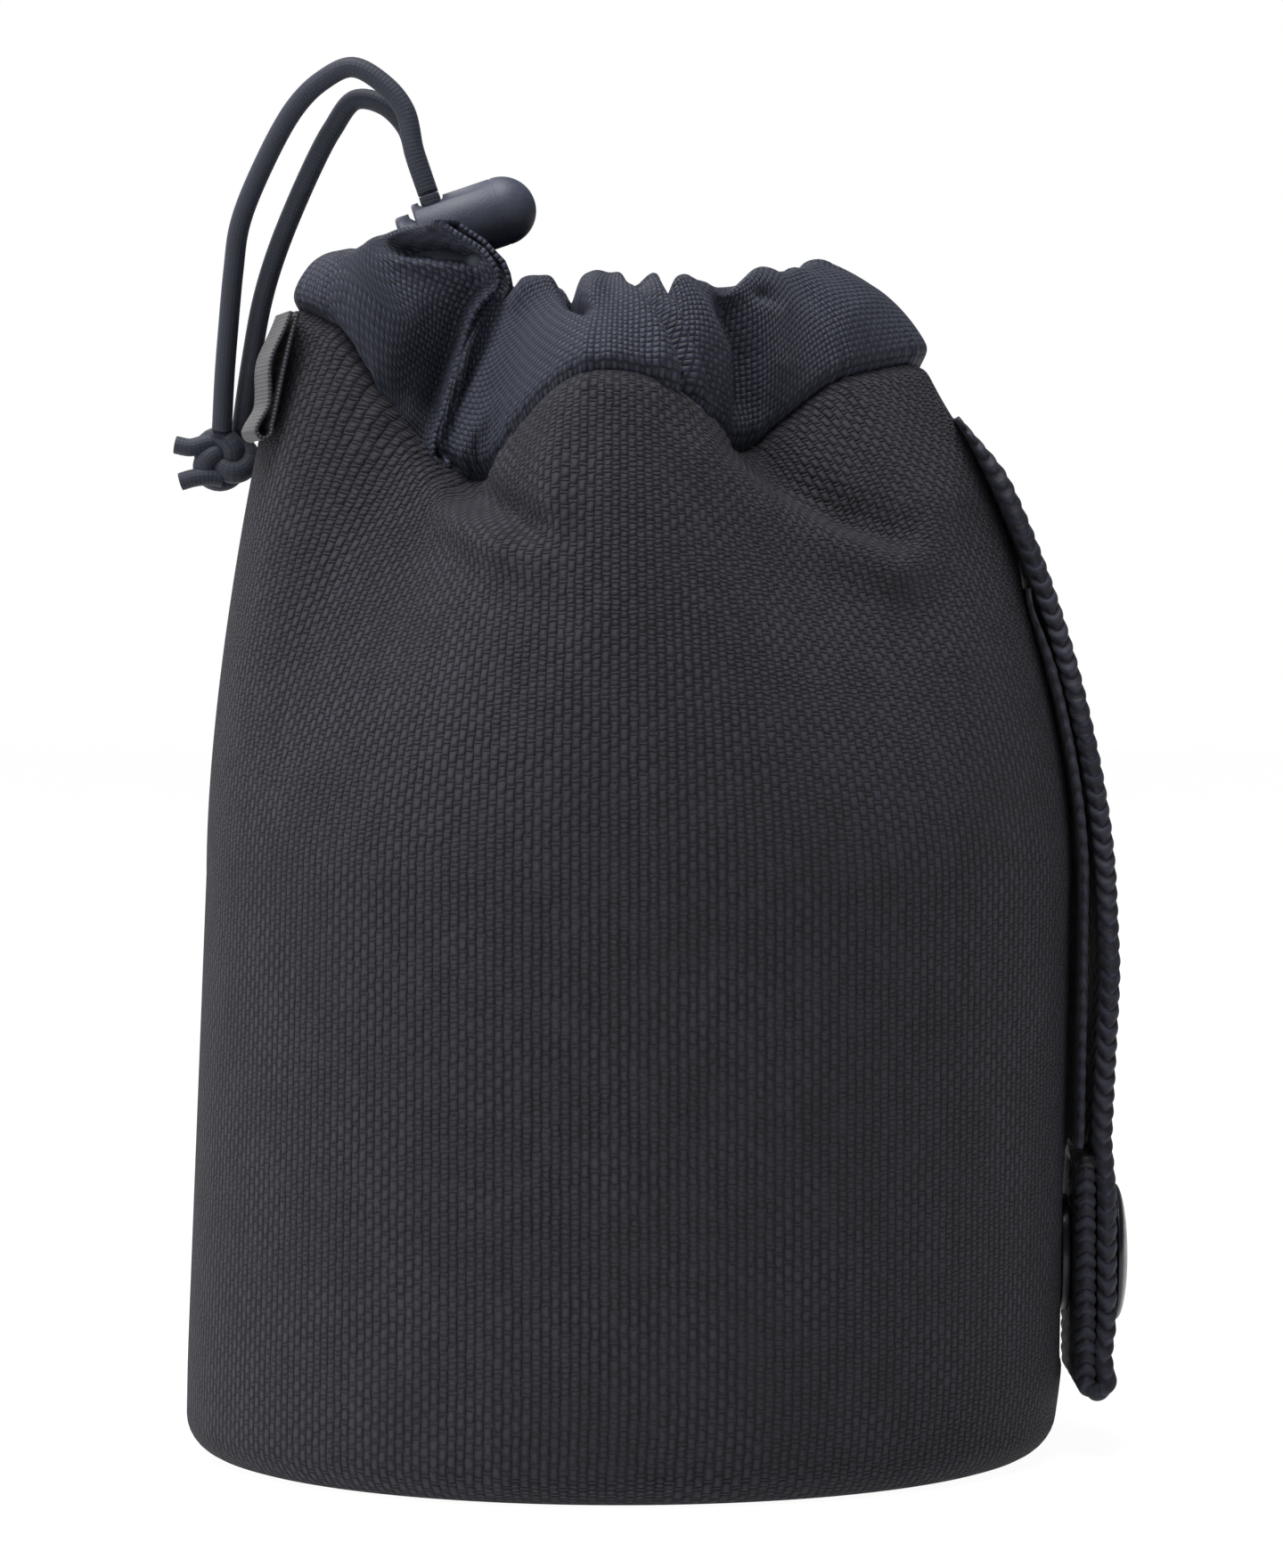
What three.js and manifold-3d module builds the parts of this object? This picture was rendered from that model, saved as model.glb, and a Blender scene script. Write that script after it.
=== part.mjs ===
// A padded drawstring pouch with a cord lock, and a belt strap that folds up and snaps to the wall.
// Millimetres, +Z up. The origin is the middle of the base. The strap is on +X, and the cord leaves
// its channel at the front left, so toward -X and -Y. An angle is counted from the front, -Y, to +X.
import * as THREE from "three";
import { mergeVertices } from "three/addons/utils/BufferGeometryUtils.js";
import Module from "manifold-3d";

const wasm = await Module();
wasm.setup();

// Driving dimensions
const CLEARANCE = 0.3;
const BODY_RADIUS = 49.1;
const BODY_LEAN = 1.3;
const BODY_LEFT_SLIMMER = 1.2;
const SHOULDER_HEIGHT = 64;
const SHOULDER_UPRIGHT = 0.3;
const RIDGE_RUN = [8, 15];
const PLEAT_RUN = [14, 7];
const LABEL_SIDE_SLIMMER = 3.5;
const FLAT_HALF_ANGLE = 20;
const BASE_CORNER = 3.8;
const SHELL_THICKNESS = 0.8;
const FOAM_THICKNESS = 3.2;
const FOAM_THICKNESS_AT_SEAM = 1.1;
const LINING_THICKNESS = 0.5;
const BASE_THICKNESS = 1;
const BASE_FOAM_THICKNESS = 3;

// Collar seam: a closed run of pleats, ridge and valley in turn, as [angle, radius, height].
const SEAM = [
  [-40, 24.5, 108.5],
  [-2, 36.3, 119],
  [36, 22.5, 111.5],
  [62, 28.8, 119.2],
  [88, 34.7, 121.2],
  [124, 24, 111],
  [152, 36, 121.5],
  [180, 24.5, 111.5],
  [212, 36.5, 124],
  [238, 25, 113],
  [277, 37.2, 126.8],
  [291, 34.6, 125],
  [307.5, 27.4, 110.9],
  [320, 24.5, 108.5],
];

// Drawcord channel: the cord's own line around the mouth, as [angle, radius, height].
const MOUTH = [
  [-40, 20.5, 126.7],
  [-18, 20, 127.6],
  [4, 20, 127.6],
  [36, 20, 127.2],
  [62, 20.6, 129],
  [90, 22, 130],
  [150, 20, 127],
  [210, 20.5, 127.5],
  [240, 24, 130.5],
  [265, 28.2, 131.2],
  [280, 29.2, 131.4],
  [296, 28.3, 132.9],
  [308, 26.3, 133.6],
  [312, 25.8, 132.8],
];
const HEM_SLANT = 6;
const HEM_SLANT_RUN = 60;
const CHANNEL_FABRIC = 0.6;
const CHANNEL_SPACE = 0.8;
const CHANNEL_SETBACK = 3;
const COLLAR_BULGE = 3.6;
const CORD_DIAMETER = 2.3;
const CORD_PITCH = 2.4;

// Cord lock
const LOCK_CENTRE = [-17.2, -4, 136.7];
const LOCK_TILT = 18.6;
const BARREL_DIAMETER = 7.7;
const BARREL_LENGTH = 13.3;
const BARREL_WALL = 0.55;
const BARREL_FLOOR = 3;
const BUTTON_REACH = 2.2;
const PLUNGER_TRAVEL = 1.4;
const CORD_HOLE_INSET = 2.3;
const PLUNGER_LENGTH = 8;
const SPRING_WIRE = 0.5;
const SPRING_TURNS = 4;
const BELOW_LOCK = 4.2;
const BUTTON_CHAMFER = 0.4;

// Drawcord between its channel and the lock, from the right end and from the left end of the channel
const FROM_RIGHT_END = [
  [-17.8, -5.9, 127.7],
  [-17.2, -8, 126.9],
  [-16.3, -11, 127.2],
  [-15.1, -14, 127.3],
];
const FROM_LEFT_END = [
  [-15.6, -16.6, 131.6],
  [-15, -14.2, 132],
  [-15.4, -10, 131],
  [-15.2, -6.2, 129.4],
  [-16, -3.4, 127.6],
  [-17.6, -2.7, 128],
];

// Free strands, which leave the lock straight and hang over the collar to the knot
const STRAND_STRAIGHT = 4.6;
const OUTER_STRAND = [
  [-24.3, -5, 149.1],
  [-26.7, -4.6, 152.1],
  [-30.2, -4, 154],
  [-33.7, -3, 152.5],
  [-36.7, -2, 149.6],
  [-40.7, 0, 142.6],
  [-43.1, 1.6, 136.7],
  [-43.9, 3, 131.7],
  [-44.7, 5.4, 124.7],
  [-45.2, 7.2, 119.8],
  [-45.6, 8.8, 113.95],
];
const INNER_STRAND = [
  [-24.2, -2.2, 147.4],
  [-26.8, -1.6, 150],
  [-30, -0.8, 150.6],
  [-32.6, 0.2, 147.4],
  [-34.7, 1, 143.6],
  [-38.7, 3.4, 134.7],
  [-40.7, 5.2, 128.7],
  [-42.2, 8, 121.7],
  [-43.6, 11, 113.5],
];

// Knot
const KNOT_CENTRE = [-45.4, 10, 110.6];
const KNOT_WIDTH = 7.4;
const KNOT_HEIGHT = 6.6;
const KNOT_CORE_DIAMETER = 6.1;
const KNOT_LEAN = 70;
const KNOT_TWIST = 25;
const TAIL_LENGTH = 2.6;
const TAIL_OFFSETS = [
  [0, 1.4],
  [1, -1.8],
];

// Side label
const LABEL_ANGLE = 281;
const LABEL_WIDTH = 12;
const LABEL_DROP = 14;
const LABEL_THICKNESS = 0.4;
const LABEL_BULGE = 1;

// Belt strap and its webbing
const STRAP_WIDTH = 25;
const STRAP_THICKNESS = 2;
const STRAP_BELOW_SEAM = 6.5;
const STRAP_HUG = 0.2;
const STRAP_LOOSE_HEIGHT = 50;
const STRAP_SWEEP = 0.6;
const STRAP_BOTTOM = 6.3;
const STRAP_RETURN = 27;
const WEBBING_THICKNESS = 0.9;
const WEBBING_BOTTOM_HEIGHT = 34.2;
const WEBBING_TOP_HEIGHT = 90;
const WEBBING_SINK_LENGTH = 8;

// Press stud
const SNAP_HEIGHT = 21.5;
const SNAP_DENT = 1.9;
const SNAP_DENT_MARGIN = 1;
const SNAP_DENT_EASE = 9;
const CAP_DIAMETER = 15.2;
const CAP_RISE = 1.8;
const METAL_EDGE = 0.5;
const STUD_DIAMETER = 13;
const STUD_PLATE = 1;
const NUB_DIAMETER = 5.4;
const NUB_HEIGHT = 0.6;
const SOCKET_THICKNESS = 1;
const SOCKET_BACK = 0.4;
const SHANK_DIAMETER = 3.4;
const EYELET_DIAMETER = 10;
const EYELET_PLATE = 0.5;

// Steps of the meshes
const AROUND = 45;
const COLUMN_ANGLE = 360 / AROUND;
const SHOULDER_STEPS = 8;
const CHANNEL_STEPS = 3;
const RIM_STEPS = 4;
const CORNER_STEPS = 4;
const DOME_STEPS = 5;
const FOLD_STEPS = 8;
const ROUND = 20;
const CORD_SIDES = 6;
const CORD_STEPS = 104;
const STRAND_STEPS = 34;
const SPRING_STEPS = 10;
const SPRING_SIDES = 4;

const fabric = (color, roughness = 0.9) =>
  new THREE.MeshStandardMaterial({ color, roughness, metalness: 0 });
const bodyFabric = fabric(0x39373b);
const collarFabric = fabric(0x41434f);
const padding = fabric(0x55585c, 0.95);
const liningFabric = fabric(0x4b4d52);
const webbing = fabric(0x1c1d22);
const labelRibbon = fabric(0x6b6862);
const cordSheath = fabric(0x33363e);
const hard = (color, roughness, metalness) =>
  new THREE.MeshStandardMaterial({ color, roughness, metalness });
const lockPlastic = hard(0x3a3d48, 0.45, 0);
const darkMetal = hard(0x2a2a2c, 0.3, 0.6);
const springSteel = hard(0x8c8f94, 0.35, 0.9);

const radians = THREE.MathUtils.degToRad;
const { lerp, clamp, smoothstep } = THREE.MathUtils;

// How steeply a column of a table runs through one of its rows: level at the peaks, dips and ends.
function steepness(table, row, column) {
  if (row === 0 || row === table.length - 1) {
    return 0;
  }
  const climb = (from) =>
    (table[from + 1][column] - table[from][column]) / (table[from + 1][0] - table[from][0]);
  const before = climb(row - 1);
  const after = climb(row);
  return before * after > 0 ? (2 * before * after) / (before + after) : 0;
}

// Radius and height at an angle, eased from one row of a table to the next.
function along(table, angle) {
  const first = table[0][0];
  const last = table[table.length - 1][0];
  const closed = last - first === 360;
  const within = first + THREE.MathUtils.euclideanModulo(angle - first, 360);
  const place = closed ? within : clamp(angle, first, last);
  const next = Math.max(1, table.findIndex((row) => row[0] >= place));
  const width = table[next][0] - table[next - 1][0];
  const share = (place - table[next - 1][0]) / width;
  const eased = share * share * (3 - 2 * share);
  const value = (column) => {
    const leaving = steepness(table, next - 1, column) * share * (1 - share) * (1 - share);
    const arriving = steepness(table, next, column) * share * share * (share - 1);
    return lerp(table[next - 1][column], table[next][column], eased) + (leaving + arriving) * width;
  };
  return new THREE.Vector2(value(1), value(2));
}

// How full the wall is at a place of its seam: 1 on the widest ridge, 0 in the deepest pleat.
function fullness(seam) {
  const radii = SEAM.map((row) => row[1]);
  const valley = Math.min(...radii);
  return clamp((seam.x - valley) / (Math.max(...radii) - valley), 0, 1);
}

// A point of the pouch from its angle and its (radius, height).
function around(angle, section) {
  const a = radians(angle);
  return new THREE.Vector3(section.x * Math.sin(a), -section.x * Math.cos(a), section.y);
}

// Heights of the wall's rows below the shoulder: above and below the dent of the press stud, and
// where the strap comes loose.
const DENT_HALF = STUD_DIAMETER / 2 + SNAP_DENT_MARGIN;
const WALL_HEIGHTS = [
  BASE_CORNER,
  SNAP_HEIGHT - DENT_HALF,
  SNAP_HEIGHT + DENT_HALF,
  SNAP_HEIGHT + DENT_HALF + SNAP_DENT_EASE,
  STRAP_LOOSE_HEIGHT,
];

// The body's own outline at one angle, from the base corner to the collar seam.
function naturalOutline(angle) {
  const seam = along(SEAM, angle);
  const pleat = 1 - fullness(seam);
  const side = Math.sin(radians(angle));
  const full = RIDGE_RUN[0] + LABEL_SIDE_SLIMMER * Math.min(side, 0);
  const lean = BODY_LEAN * side - BODY_LEFT_SLIMMER * Math.min(side, 0) ** 2;
  const radiusAt = (z) => BODY_RADIUS + (lean * z) / SHOULDER_HEIGHT;
  const wall = WALL_HEIGHTS.map((z) => new THREE.Vector2(radiusAt(z), z));
  const out = lerp(full, PLEAT_RUN[0], pleat);
  const down = lerp(RIDGE_RUN[1], PLEAT_RUN[1], pleat);
  const widest = radiusAt(SHOULDER_HEIGHT);
  const shoulder = new THREE.CubicBezierCurve(
    new THREE.Vector2(widest, SHOULDER_HEIGHT),
    new THREE.Vector2(widest, lerp(SHOULDER_HEIGHT, seam.y, SHOULDER_UPRIGHT)),
    new THREE.Vector2(seam.x + out, seam.y - down),
    seam,
  );
  return wall.concat(shoulder.getPoints(SHOULDER_STEPS));
}

// Radius of an outline at a height.
function radiusAtHeight(outline, z) {
  const above = outline.findIndex((p) => p.y >= z);
  const next = above < 0 ? outline.length - 1 : Math.max(above, 1);
  const a = outline[next - 1];
  const b = outline[next];
  return lerp(a.x, b.x, clamp((z - a.y) / (b.y - a.y), 0, 1));
}

// Strap side: the strap lies flat on the shoulder, stands off lower down and ends in the press stud.
const sideOutline = naturalOutline(90);
const STRAP_TOP = sideOutline[sideOutline.length - 1].y - STRAP_BELOW_SEAM;
const SNAP_WALL = BODY_RADIUS - SNAP_DENT;
const STUD_BASE = SNAP_WALL + CLEARANCE;
const SOCKET_FACE = STUD_BASE + STUD_PLATE + CLEARANCE;
const INNER_PLY = SOCKET_FACE + SOCKET_THICKNESS + CLEARANCE;
const INNER_PLY_GAP = CLEARANCE;
const SNAP_FACE = INNER_PLY + 2 * STRAP_THICKNESS + INNER_PLY_GAP;

function strapFace(z) {
  const loose = SNAP_FACE - radiusAtHeight(sideOutline, STRAP_LOOSE_HEIGHT);
  const share = clamp((z - STRAP_LOOSE_HEIGHT) / (STRAP_TOP - STRAP_LOOSE_HEIGHT), 0, 1);
  if (share === 0) return SNAP_FACE;
  return radiusAtHeight(sideOutline, z) + lerp(STRAP_HUG, loose, (1 - share) ** STRAP_SWEEP);
}

// The flat that the strap, its webbing and the stud press into the wall, as a distance along +X.
function flatAt(z) {
  const underStrap = strapFace(z) - STRAP_THICKNESS - CLEARANCE;
  const underWebbing = underStrap - WEBBING_THICKNESS - CLEARANCE;
  const free = z < WEBBING_TOP_HEIGHT + WEBBING_SINK_LENGTH ? underWebbing : underStrap;
  const byStud = Math.abs(z - SNAP_HEIGHT) < DENT_HALF + CLEARANCE;
  return byStud ? SNAP_WALL : free;
}

// The body's outline with that flat in it.
function bodyOutline(angle) {
  const outline = naturalOutline(angle);
  const aside = Math.abs(((angle + 90) % 360) - 180);
  if (aside > FLAT_HALF_ANGLE) return outline;
  const toRadius = 1 / Math.cos(radians(aside));
  return outline.map((p) => new THREE.Vector2(Math.min(p.x, flatAt(p.y) * toRadius), p.y));
}

const wallOutline = bodyOutline(90);
const wallAt = (z) => radiusAtHeight(wallOutline, z);
const wallHeightsBetween = (low, high) =>
  wallOutline.map((p) => p.y).filter((z) => z > low && z < high);

// An outline moved sideways, to the left of its run where the distance is positive.
function offset(outline, distances) {
  return outline.map((p, i) => {
    const before = outline[Math.max(i - 1, 0)];
    const after = outline[Math.min(i + 1, outline.length - 1)];
    const run = after.clone().sub(before).normalize();
    return new THREE.Vector2(p.x - run.y * distances[i], p.y + run.x * distances[i]);
  });
}

// A closed solid between two grids of points, each a list of columns. A ring joins its last column
// to its first.
function sheet(front, back, ring) {
  const columns = front.length;
  const rows = front[0].length;
  const positions = [...front, ...back].flatMap((column) => column.flatMap((p) => p.toArray()));
  const at = (side, column, row) => (side * columns + (column % columns)) * rows + row;
  const index = [];
  const quad = (a, b, c, d) => index.push(a, b, c, a, c, d);
  const last = ring ? columns : columns - 1;
  for (let c = 0; c < last; c++) {
    for (let r = 0; r < rows - 1; r++) {
      quad(at(0, c, r), at(0, c + 1, r), at(0, c + 1, r + 1), at(0, c, r + 1));
      quad(at(1, c, r), at(1, c, r + 1), at(1, c + 1, r + 1), at(1, c + 1, r));
    }
    quad(at(0, c, 0), at(1, c, 0), at(1, c + 1, 0), at(0, c + 1, 0));
    quad(at(0, c, rows - 1), at(0, c + 1, rows - 1), at(1, c + 1, rows - 1), at(1, c, rows - 1));
  }
  for (let r = 0; !ring && r < rows - 1; r++) {
    quad(at(0, 0, r), at(0, 0, r + 1), at(1, 0, r + 1), at(1, 0, r));
    quad(at(0, last, r), at(1, last, r), at(1, last, r + 1), at(0, last, r + 1));
  }
  const geometry = new THREE.BufferGeometry();
  geometry.setAttribute("position", new THREE.Float32BufferAttribute(positions, 3));
  geometry.setIndex(index);
  return geometry;
}

// Closed geometry as a solid for cutting and joining, and back.
function solid(geometry) {
  const bare = geometry.clone();
  bare.deleteAttribute("normal");
  bare.deleteAttribute("uv");
  const merged = mergeVertices(bare, 1e-4);
  const vertProperties = new Float32Array(merged.attributes.position.array);
  const triVerts = new Uint32Array(merged.index.array);
  return new wasm.Manifold(new wasm.Mesh({ numProp: 3, vertProperties, triVerts }));
}

function geometryOf(body) {
  const { numProp, vertProperties, triVerts } = body.getMesh();
  const geometry = new THREE.BufferGeometry();
  const points = [];
  for (let i = 0; i < vertProperties.length; i += numProp) {
    points.push(...vertProperties.slice(i, i + 3));
  }
  geometry.setAttribute("position", new THREE.Float32BufferAttribute(points, 3));
  geometry.setIndex([...triVerts]);
  return geometry;
}

const cut = (geometry, ...tools) =>
  geometryOf(tools.reduce((body, tool) => body.subtract(solid(tool)), solid(geometry)));
const join = (...geometries) => geometryOf(geometries.map(solid).reduce((a, b) => a.add(b)));

// A body of revolution about +X from a closed profile of (radius, x).
function turned(profile, segments = ROUND) {
  const points = profile.map(([r, x]) => new THREE.Vector2(r, x));
  return new THREE.LatheGeometry(points, segments).rotateZ(-Math.PI / 2);
}

// The quarter of an ellipse that closes a profile, from its edge to the axis.
function domed(radius, base, rise) {
  const quarter = new THREE.EllipseCurve(0, base, radius, rise, 0, Math.PI / 2);
  return quarter.getPoints(DOME_STEPS).map((p) => [Math.max(p.x, 0), p.y]);
}

function tube(points, radius, steps, sides = CORD_SIDES) {
  const shape = new THREE.Shape().absarc(0, 0, radius, 0, 2 * Math.PI);
  const extrudePath = new THREE.CatmullRomCurve3(points);
  return new THREE.ExtrudeGeometry(shape, { extrudePath, steps, curveSegments: sides / 2 });
}

// A flat ribbon: its centre line in X and Z, with its width along Y.
function ribbon(line, thickness, width) {
  const half = line.map(() => thickness / 2);
  const left = offset(line, half);
  const right = offset(line, half.map((d) => -d)).reverse();
  const shape = new THREE.Shape(left.concat(right));
  const geometry = new THREE.ExtrudeGeometry(shape, { depth: width, bevelEnabled: false });
  return geometry.rotateX(Math.PI / 2).translate(0, width / 2, 0);
}

const pouch = new THREE.Group();

function add(name, geometry, material, parent = pouch) {
  const mesh = new THREE.Mesh(geometry, material);
  mesh.name = name;
  parent.add(mesh);
  return mesh;
}

// Wall: one layer between two depths under the body's outer face. A depth is a function of the share
// of the shoulder that lies below.
const WALL_ANGLES = Array.from({ length: AROUND }, (_, i) => COLUMN_ANGLE * i);

function wallLayer(depthOut, depthIn, start) {
  const faces = [depthOut, depthIn].map((depth) =>
    WALL_ANGLES.map((angle) => {
      const outline = bodyOutline(angle);
      const seam = outline[outline.length - 1].y;
      const share = (z) => (z - SHOULDER_HEIGHT) / (seam - SHOULDER_HEIGHT);
      const moved = offset(outline, outline.map((p) => depth(share(p.y))));
      moved[0].y = start;
      return moved.map((p) => around(angle, p));
    }),
  );
  return sheet(faces[0], faces[1], true);
}

const foamOut = () => SHELL_THICKNESS + CLEARANCE;
const foamThickness = (share) =>
  lerp(FOAM_THICKNESS, FOAM_THICKNESS_AT_SEAM, smoothstep(share, 0.2, 1));
const foamIn = (share) => foamOut() + foamThickness(share);
const liningOut = (share) => foamIn(share) + CLEARANCE;
const liningIn = (share) => liningOut(share) + LINING_THICKNESS;

// Heights of the base's layers
const BASE_FOAM_BOTTOM = BASE_THICKNESS + CLEARANCE;
const BASE_FOAM_TOP = BASE_FOAM_BOTTOM + BASE_FOAM_THICKNESS;
const FLOOR_BOTTOM = BASE_FOAM_TOP + CLEARANCE;
const EYELET_BASE = SNAP_WALL - SHELL_THICKNESS - CLEARANCE - EYELET_PLATE;

// A round tool for a hole at the press stud, with clearance, between two places along X.
function snapHole(diameter, from, to) {
  const radius = diameter / 2 + CLEARANCE;
  return turned([[0, from], [radius, from], [radius, to], [0, to]]).translate(0, 0, SNAP_HEIGHT);
}

function addWall() {
  const shell = wallLayer(() => 0, () => SHELL_THICKNESS, BASE_CORNER);
  const shank = snapHole(SHANK_DIAMETER, SNAP_WALL - 2 * SHELL_THICKNESS, SNAP_WALL + SHELL_THICKNESS);
  add("outer_shell", cut(shell, shank), bodyFabric);
  const pocket = snapHole(EYELET_DIAMETER, EYELET_BASE - CLEARANCE, SNAP_WALL);
  add("foam_wall", cut(wallLayer(foamOut, foamIn, BASE_CORNER), pocket), padding);
  add("lining", wallLayer(liningOut, liningIn, FLOOR_BOTTOM), liningFabric);
}

function addBase() {
  const arcs = [0, BASE_THICKNESS].map((inset) => {
    const radius = BASE_CORNER - inset;
    const rise = Math.asin(CLEARANCE / radius);
    const middle = BODY_RADIUS - BASE_CORNER;
    const corner = new THREE.EllipseCurve(middle, BASE_CORNER, radius, radius, -Math.PI / 2, -rise);
    return corner.getPoints(CORNER_STEPS).map((p) => [p.x, p.y]);
  });
  const panel = [[0, 0], ...arcs[0], ...arcs[1].reverse(), [0, BASE_THICKNESS]];
  const upright = (profile) => turned(profile, AROUND).rotateY(-Math.PI / 2);
  add("base_panel", upright(panel), bodyFabric);
  const disc = (radius, bottom, top) =>
    upright([[0, bottom], [radius, bottom], [radius, top], [0, top]]);
  const foamRadius = BODY_RADIUS - foamIn(0) - CLEARANCE;
  add("base_foam", disc(foamRadius, BASE_FOAM_BOTTOM, BASE_FOAM_TOP), padding);
  const floorRadius = BODY_RADIUS - liningIn(0) - CLEARANCE;
  add("base_lining", disc(floorRadius, FLOOR_BOTTOM, FLOOR_BOTTOM + LINING_THICKNESS), liningFabric);
}

// Drawstring channel: the collar fabric rises from the seam, folds over the cord and comes back down
// inside. Its two hemmed ends meet at the front left, where the cord leaves.
const RIM_RADIUS = CORD_DIAMETER / 2 + CLEARANCE + CHANNEL_FABRIC;

function channelOutline(angle) {
  const seam = along(SEAM, angle);
  const bulge = COLLAR_BULGE * fullness(seam);
  seam.y += CLEARANCE + CHANNEL_FABRIC;
  const centre = along(MOUTH, angle);
  const run = centre.clone().sub(seam);
  const half = run.length() / 2;
  run.normalize();
  const out = new THREE.Vector2(run.y, -run.x);
  const top = centre.clone().addScaledVector(out, RIM_RADIUS);
  const bend = top.clone().addScaledVector(run, -half).addScaledVector(out, bulge);
  const start = bend.clone().sub(seam).normalize();
  const bottom = seam.clone().addScaledVector(run, CHANNEL_SETBACK);
  const layers = 2 * CHANNEL_FABRIC + CHANNEL_SPACE;
  bottom.add(new THREE.Vector2(-start.y, start.x).multiplyScalar(layers));
  const back = centre.clone().addScaledVector(out, -RIM_RADIUS);
  const backBend = back.clone().addScaledVector(run, -half);
  const from = Math.atan2(out.y, out.x);
  const rim = new THREE.EllipseCurve(centre.x, centre.y, RIM_RADIUS, RIM_RADIUS, from, from + Math.PI);
  const up = new THREE.QuadraticBezierCurve(seam, bend, top).getPoints(CHANNEL_STEPS);
  const down = new THREE.QuadraticBezierCurve(back, backBend, bottom).getPoints(CHANNEL_STEPS);
  return up.concat(rim.getPoints(RIM_STEPS).slice(1, -1), down);
}

// The channel's columns, which line up with the wall's, between its two ends.
function mouthAngles() {
  const first = MOUTH[0][0];
  const last = MOUTH[MOUTH.length - 1][0];
  const columns = WALL_ANGLES.map((angle) => (angle > last ? angle - 360 : angle));
  const inside = columns.filter((angle) => angle > first && angle < last);
  return [first, ...inside.sort((a, b) => a - b), last];
}

function addChannel() {
  const columns = mouthAngles();
  const last = columns[columns.length - 1];
  const count = channelOutline(last).length;
  const faces = [0, CHANNEL_FABRIC].map((depth) =>
    columns.map((square) => {
      const slant = HEM_SLANT * smoothstep(square, last - HEM_SLANT_RUN, last);
      return Array.from({ length: count }, (_, row) => {
        const rise = 1 - Math.abs((2 * row) / (count - 1) - 1);
        const angle = square - slant * rise;
        const outline = channelOutline(angle);
        return around(angle, offset(outline, outline.map(() => depth))[row]);
      });
    }),
  );
  add("collar_channel", sheet(faces[0], faces[1], false), collarFabric);
}

// Cord lock: a barrel with a sprung plunger. Its own X runs from the button to the dome, and its Z
// along the two cords.
const lock = new THREE.Group();
lock.position.set(...LOCK_CENTRE);
lock.rotation.y = -radians(LOCK_TILT);
lock.updateMatrix();
pouch.add(lock);
const inLock = (x, y, z) => new THREE.Vector3(x, y, z).applyMatrix4(lock.matrix);

const BARREL_RADIUS = BARREL_DIAMETER / 2;
const DOME_TIP = (BARREL_LENGTH + BUTTON_REACH) / 2;
const BARREL_MOUTH = DOME_TIP - BARREL_LENGTH;
const BUTTON_FACE = -DOME_TIP;
const BORE_END = DOME_TIP - BARREL_FLOOR;
const CORD_HOLE = BARREL_MOUTH + CORD_HOLE_INSET;
const CORD_HOLE_HALF = CORD_DIAMETER / 2 + CLEARANCE;
const PLUNGER_RADIUS = BARREL_RADIUS - BARREL_WALL - CLEARANCE;
const PLUNGER_END = BUTTON_FACE + PLUNGER_LENGTH;

// A tool for the hole of the two cords, side by side along Y, between two places along the barrel.
function cordHole(from, to) {
  const across = CORD_PITCH + CORD_DIAMETER + CLEARANCE;
  const box = new THREE.BoxGeometry(to - from, across, 2 * BARREL_DIAMETER);
  return box.translate((from + to) / 2, 0, 0);
}

function addLock() {
  const bore = BARREL_RADIUS - BARREL_WALL;
  const barrel = turned([
    [0, BORE_END],
    [bore, BORE_END],
    [bore, BARREL_MOUTH],
    [BARREL_RADIUS, BARREL_MOUTH],
    ...domed(BARREL_RADIUS, DOME_TIP - BARREL_RADIUS, BARREL_RADIUS),
  ]);
  const hole = cordHole(CORD_HOLE - CORD_HOLE_HALF, CORD_HOLE + CORD_HOLE_HALF);
  add("cord_lock_barrel", cut(barrel, hole), lockPlastic, lock);
  const plunger = turned([
    [0, BUTTON_FACE],
    [PLUNGER_RADIUS - BUTTON_CHAMFER, BUTTON_FACE],
    [PLUNGER_RADIUS, BUTTON_FACE + BUTTON_CHAMFER],
    [PLUNGER_RADIUS, PLUNGER_END],
    [0, PLUNGER_END],
  ]);
  const slot = cordHole(CORD_HOLE - CORD_HOLE_HALF - PLUNGER_TRAVEL, CORD_HOLE + CORD_HOLE_HALF);
  add("cord_lock_plunger", cut(plunger, slot), lockPlastic, lock);
  const springStart = PLUNGER_END + CLEARANCE + SPRING_WIRE / 2;
  const springEnd = BORE_END - CLEARANCE - SPRING_WIRE / 2;
  const springRadius = bore - CLEARANCE - SPRING_WIRE;
  const steps = SPRING_STEPS * SPRING_TURNS;
  const helix = Array.from({ length: steps + 1 }, (_, i) => {
    const turn = (2 * Math.PI * SPRING_TURNS * i) / steps;
    const x = lerp(springStart, springEnd, i / steps);
    return new THREE.Vector3(x, springRadius * Math.cos(turn), springRadius * Math.sin(turn));
  });
  add("cord_lock_spring", tube(helix, SPRING_WIRE / 2, steps, SPRING_SIDES), springSteel, lock);
}

const points = (rows) => rows.map((row) => new THREE.Vector3(...row));

// The cord inside the channel, its two ends led up through the lock.
function addDrawcord() {
  const heights = [-BELOW_LOCK - CORD_DIAMETER, -BELOW_LOCK, 0, BELOW_LOCK];
  const through = (y) => heights.map((z) => inLock(CORD_HOLE, y, z));
  const route = [
    ...through(-CORD_PITCH / 2).reverse(),
    ...points(FROM_RIGHT_END),
    ...mouthAngles().map((angle) => around(angle, along(MOUTH, angle))),
    ...points(FROM_LEFT_END),
    ...through(CORD_PITCH / 2),
  ];
  add("drawcord", tube(route, CORD_DIAMETER / 2, CORD_STEPS), cordSheath);
}

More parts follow.
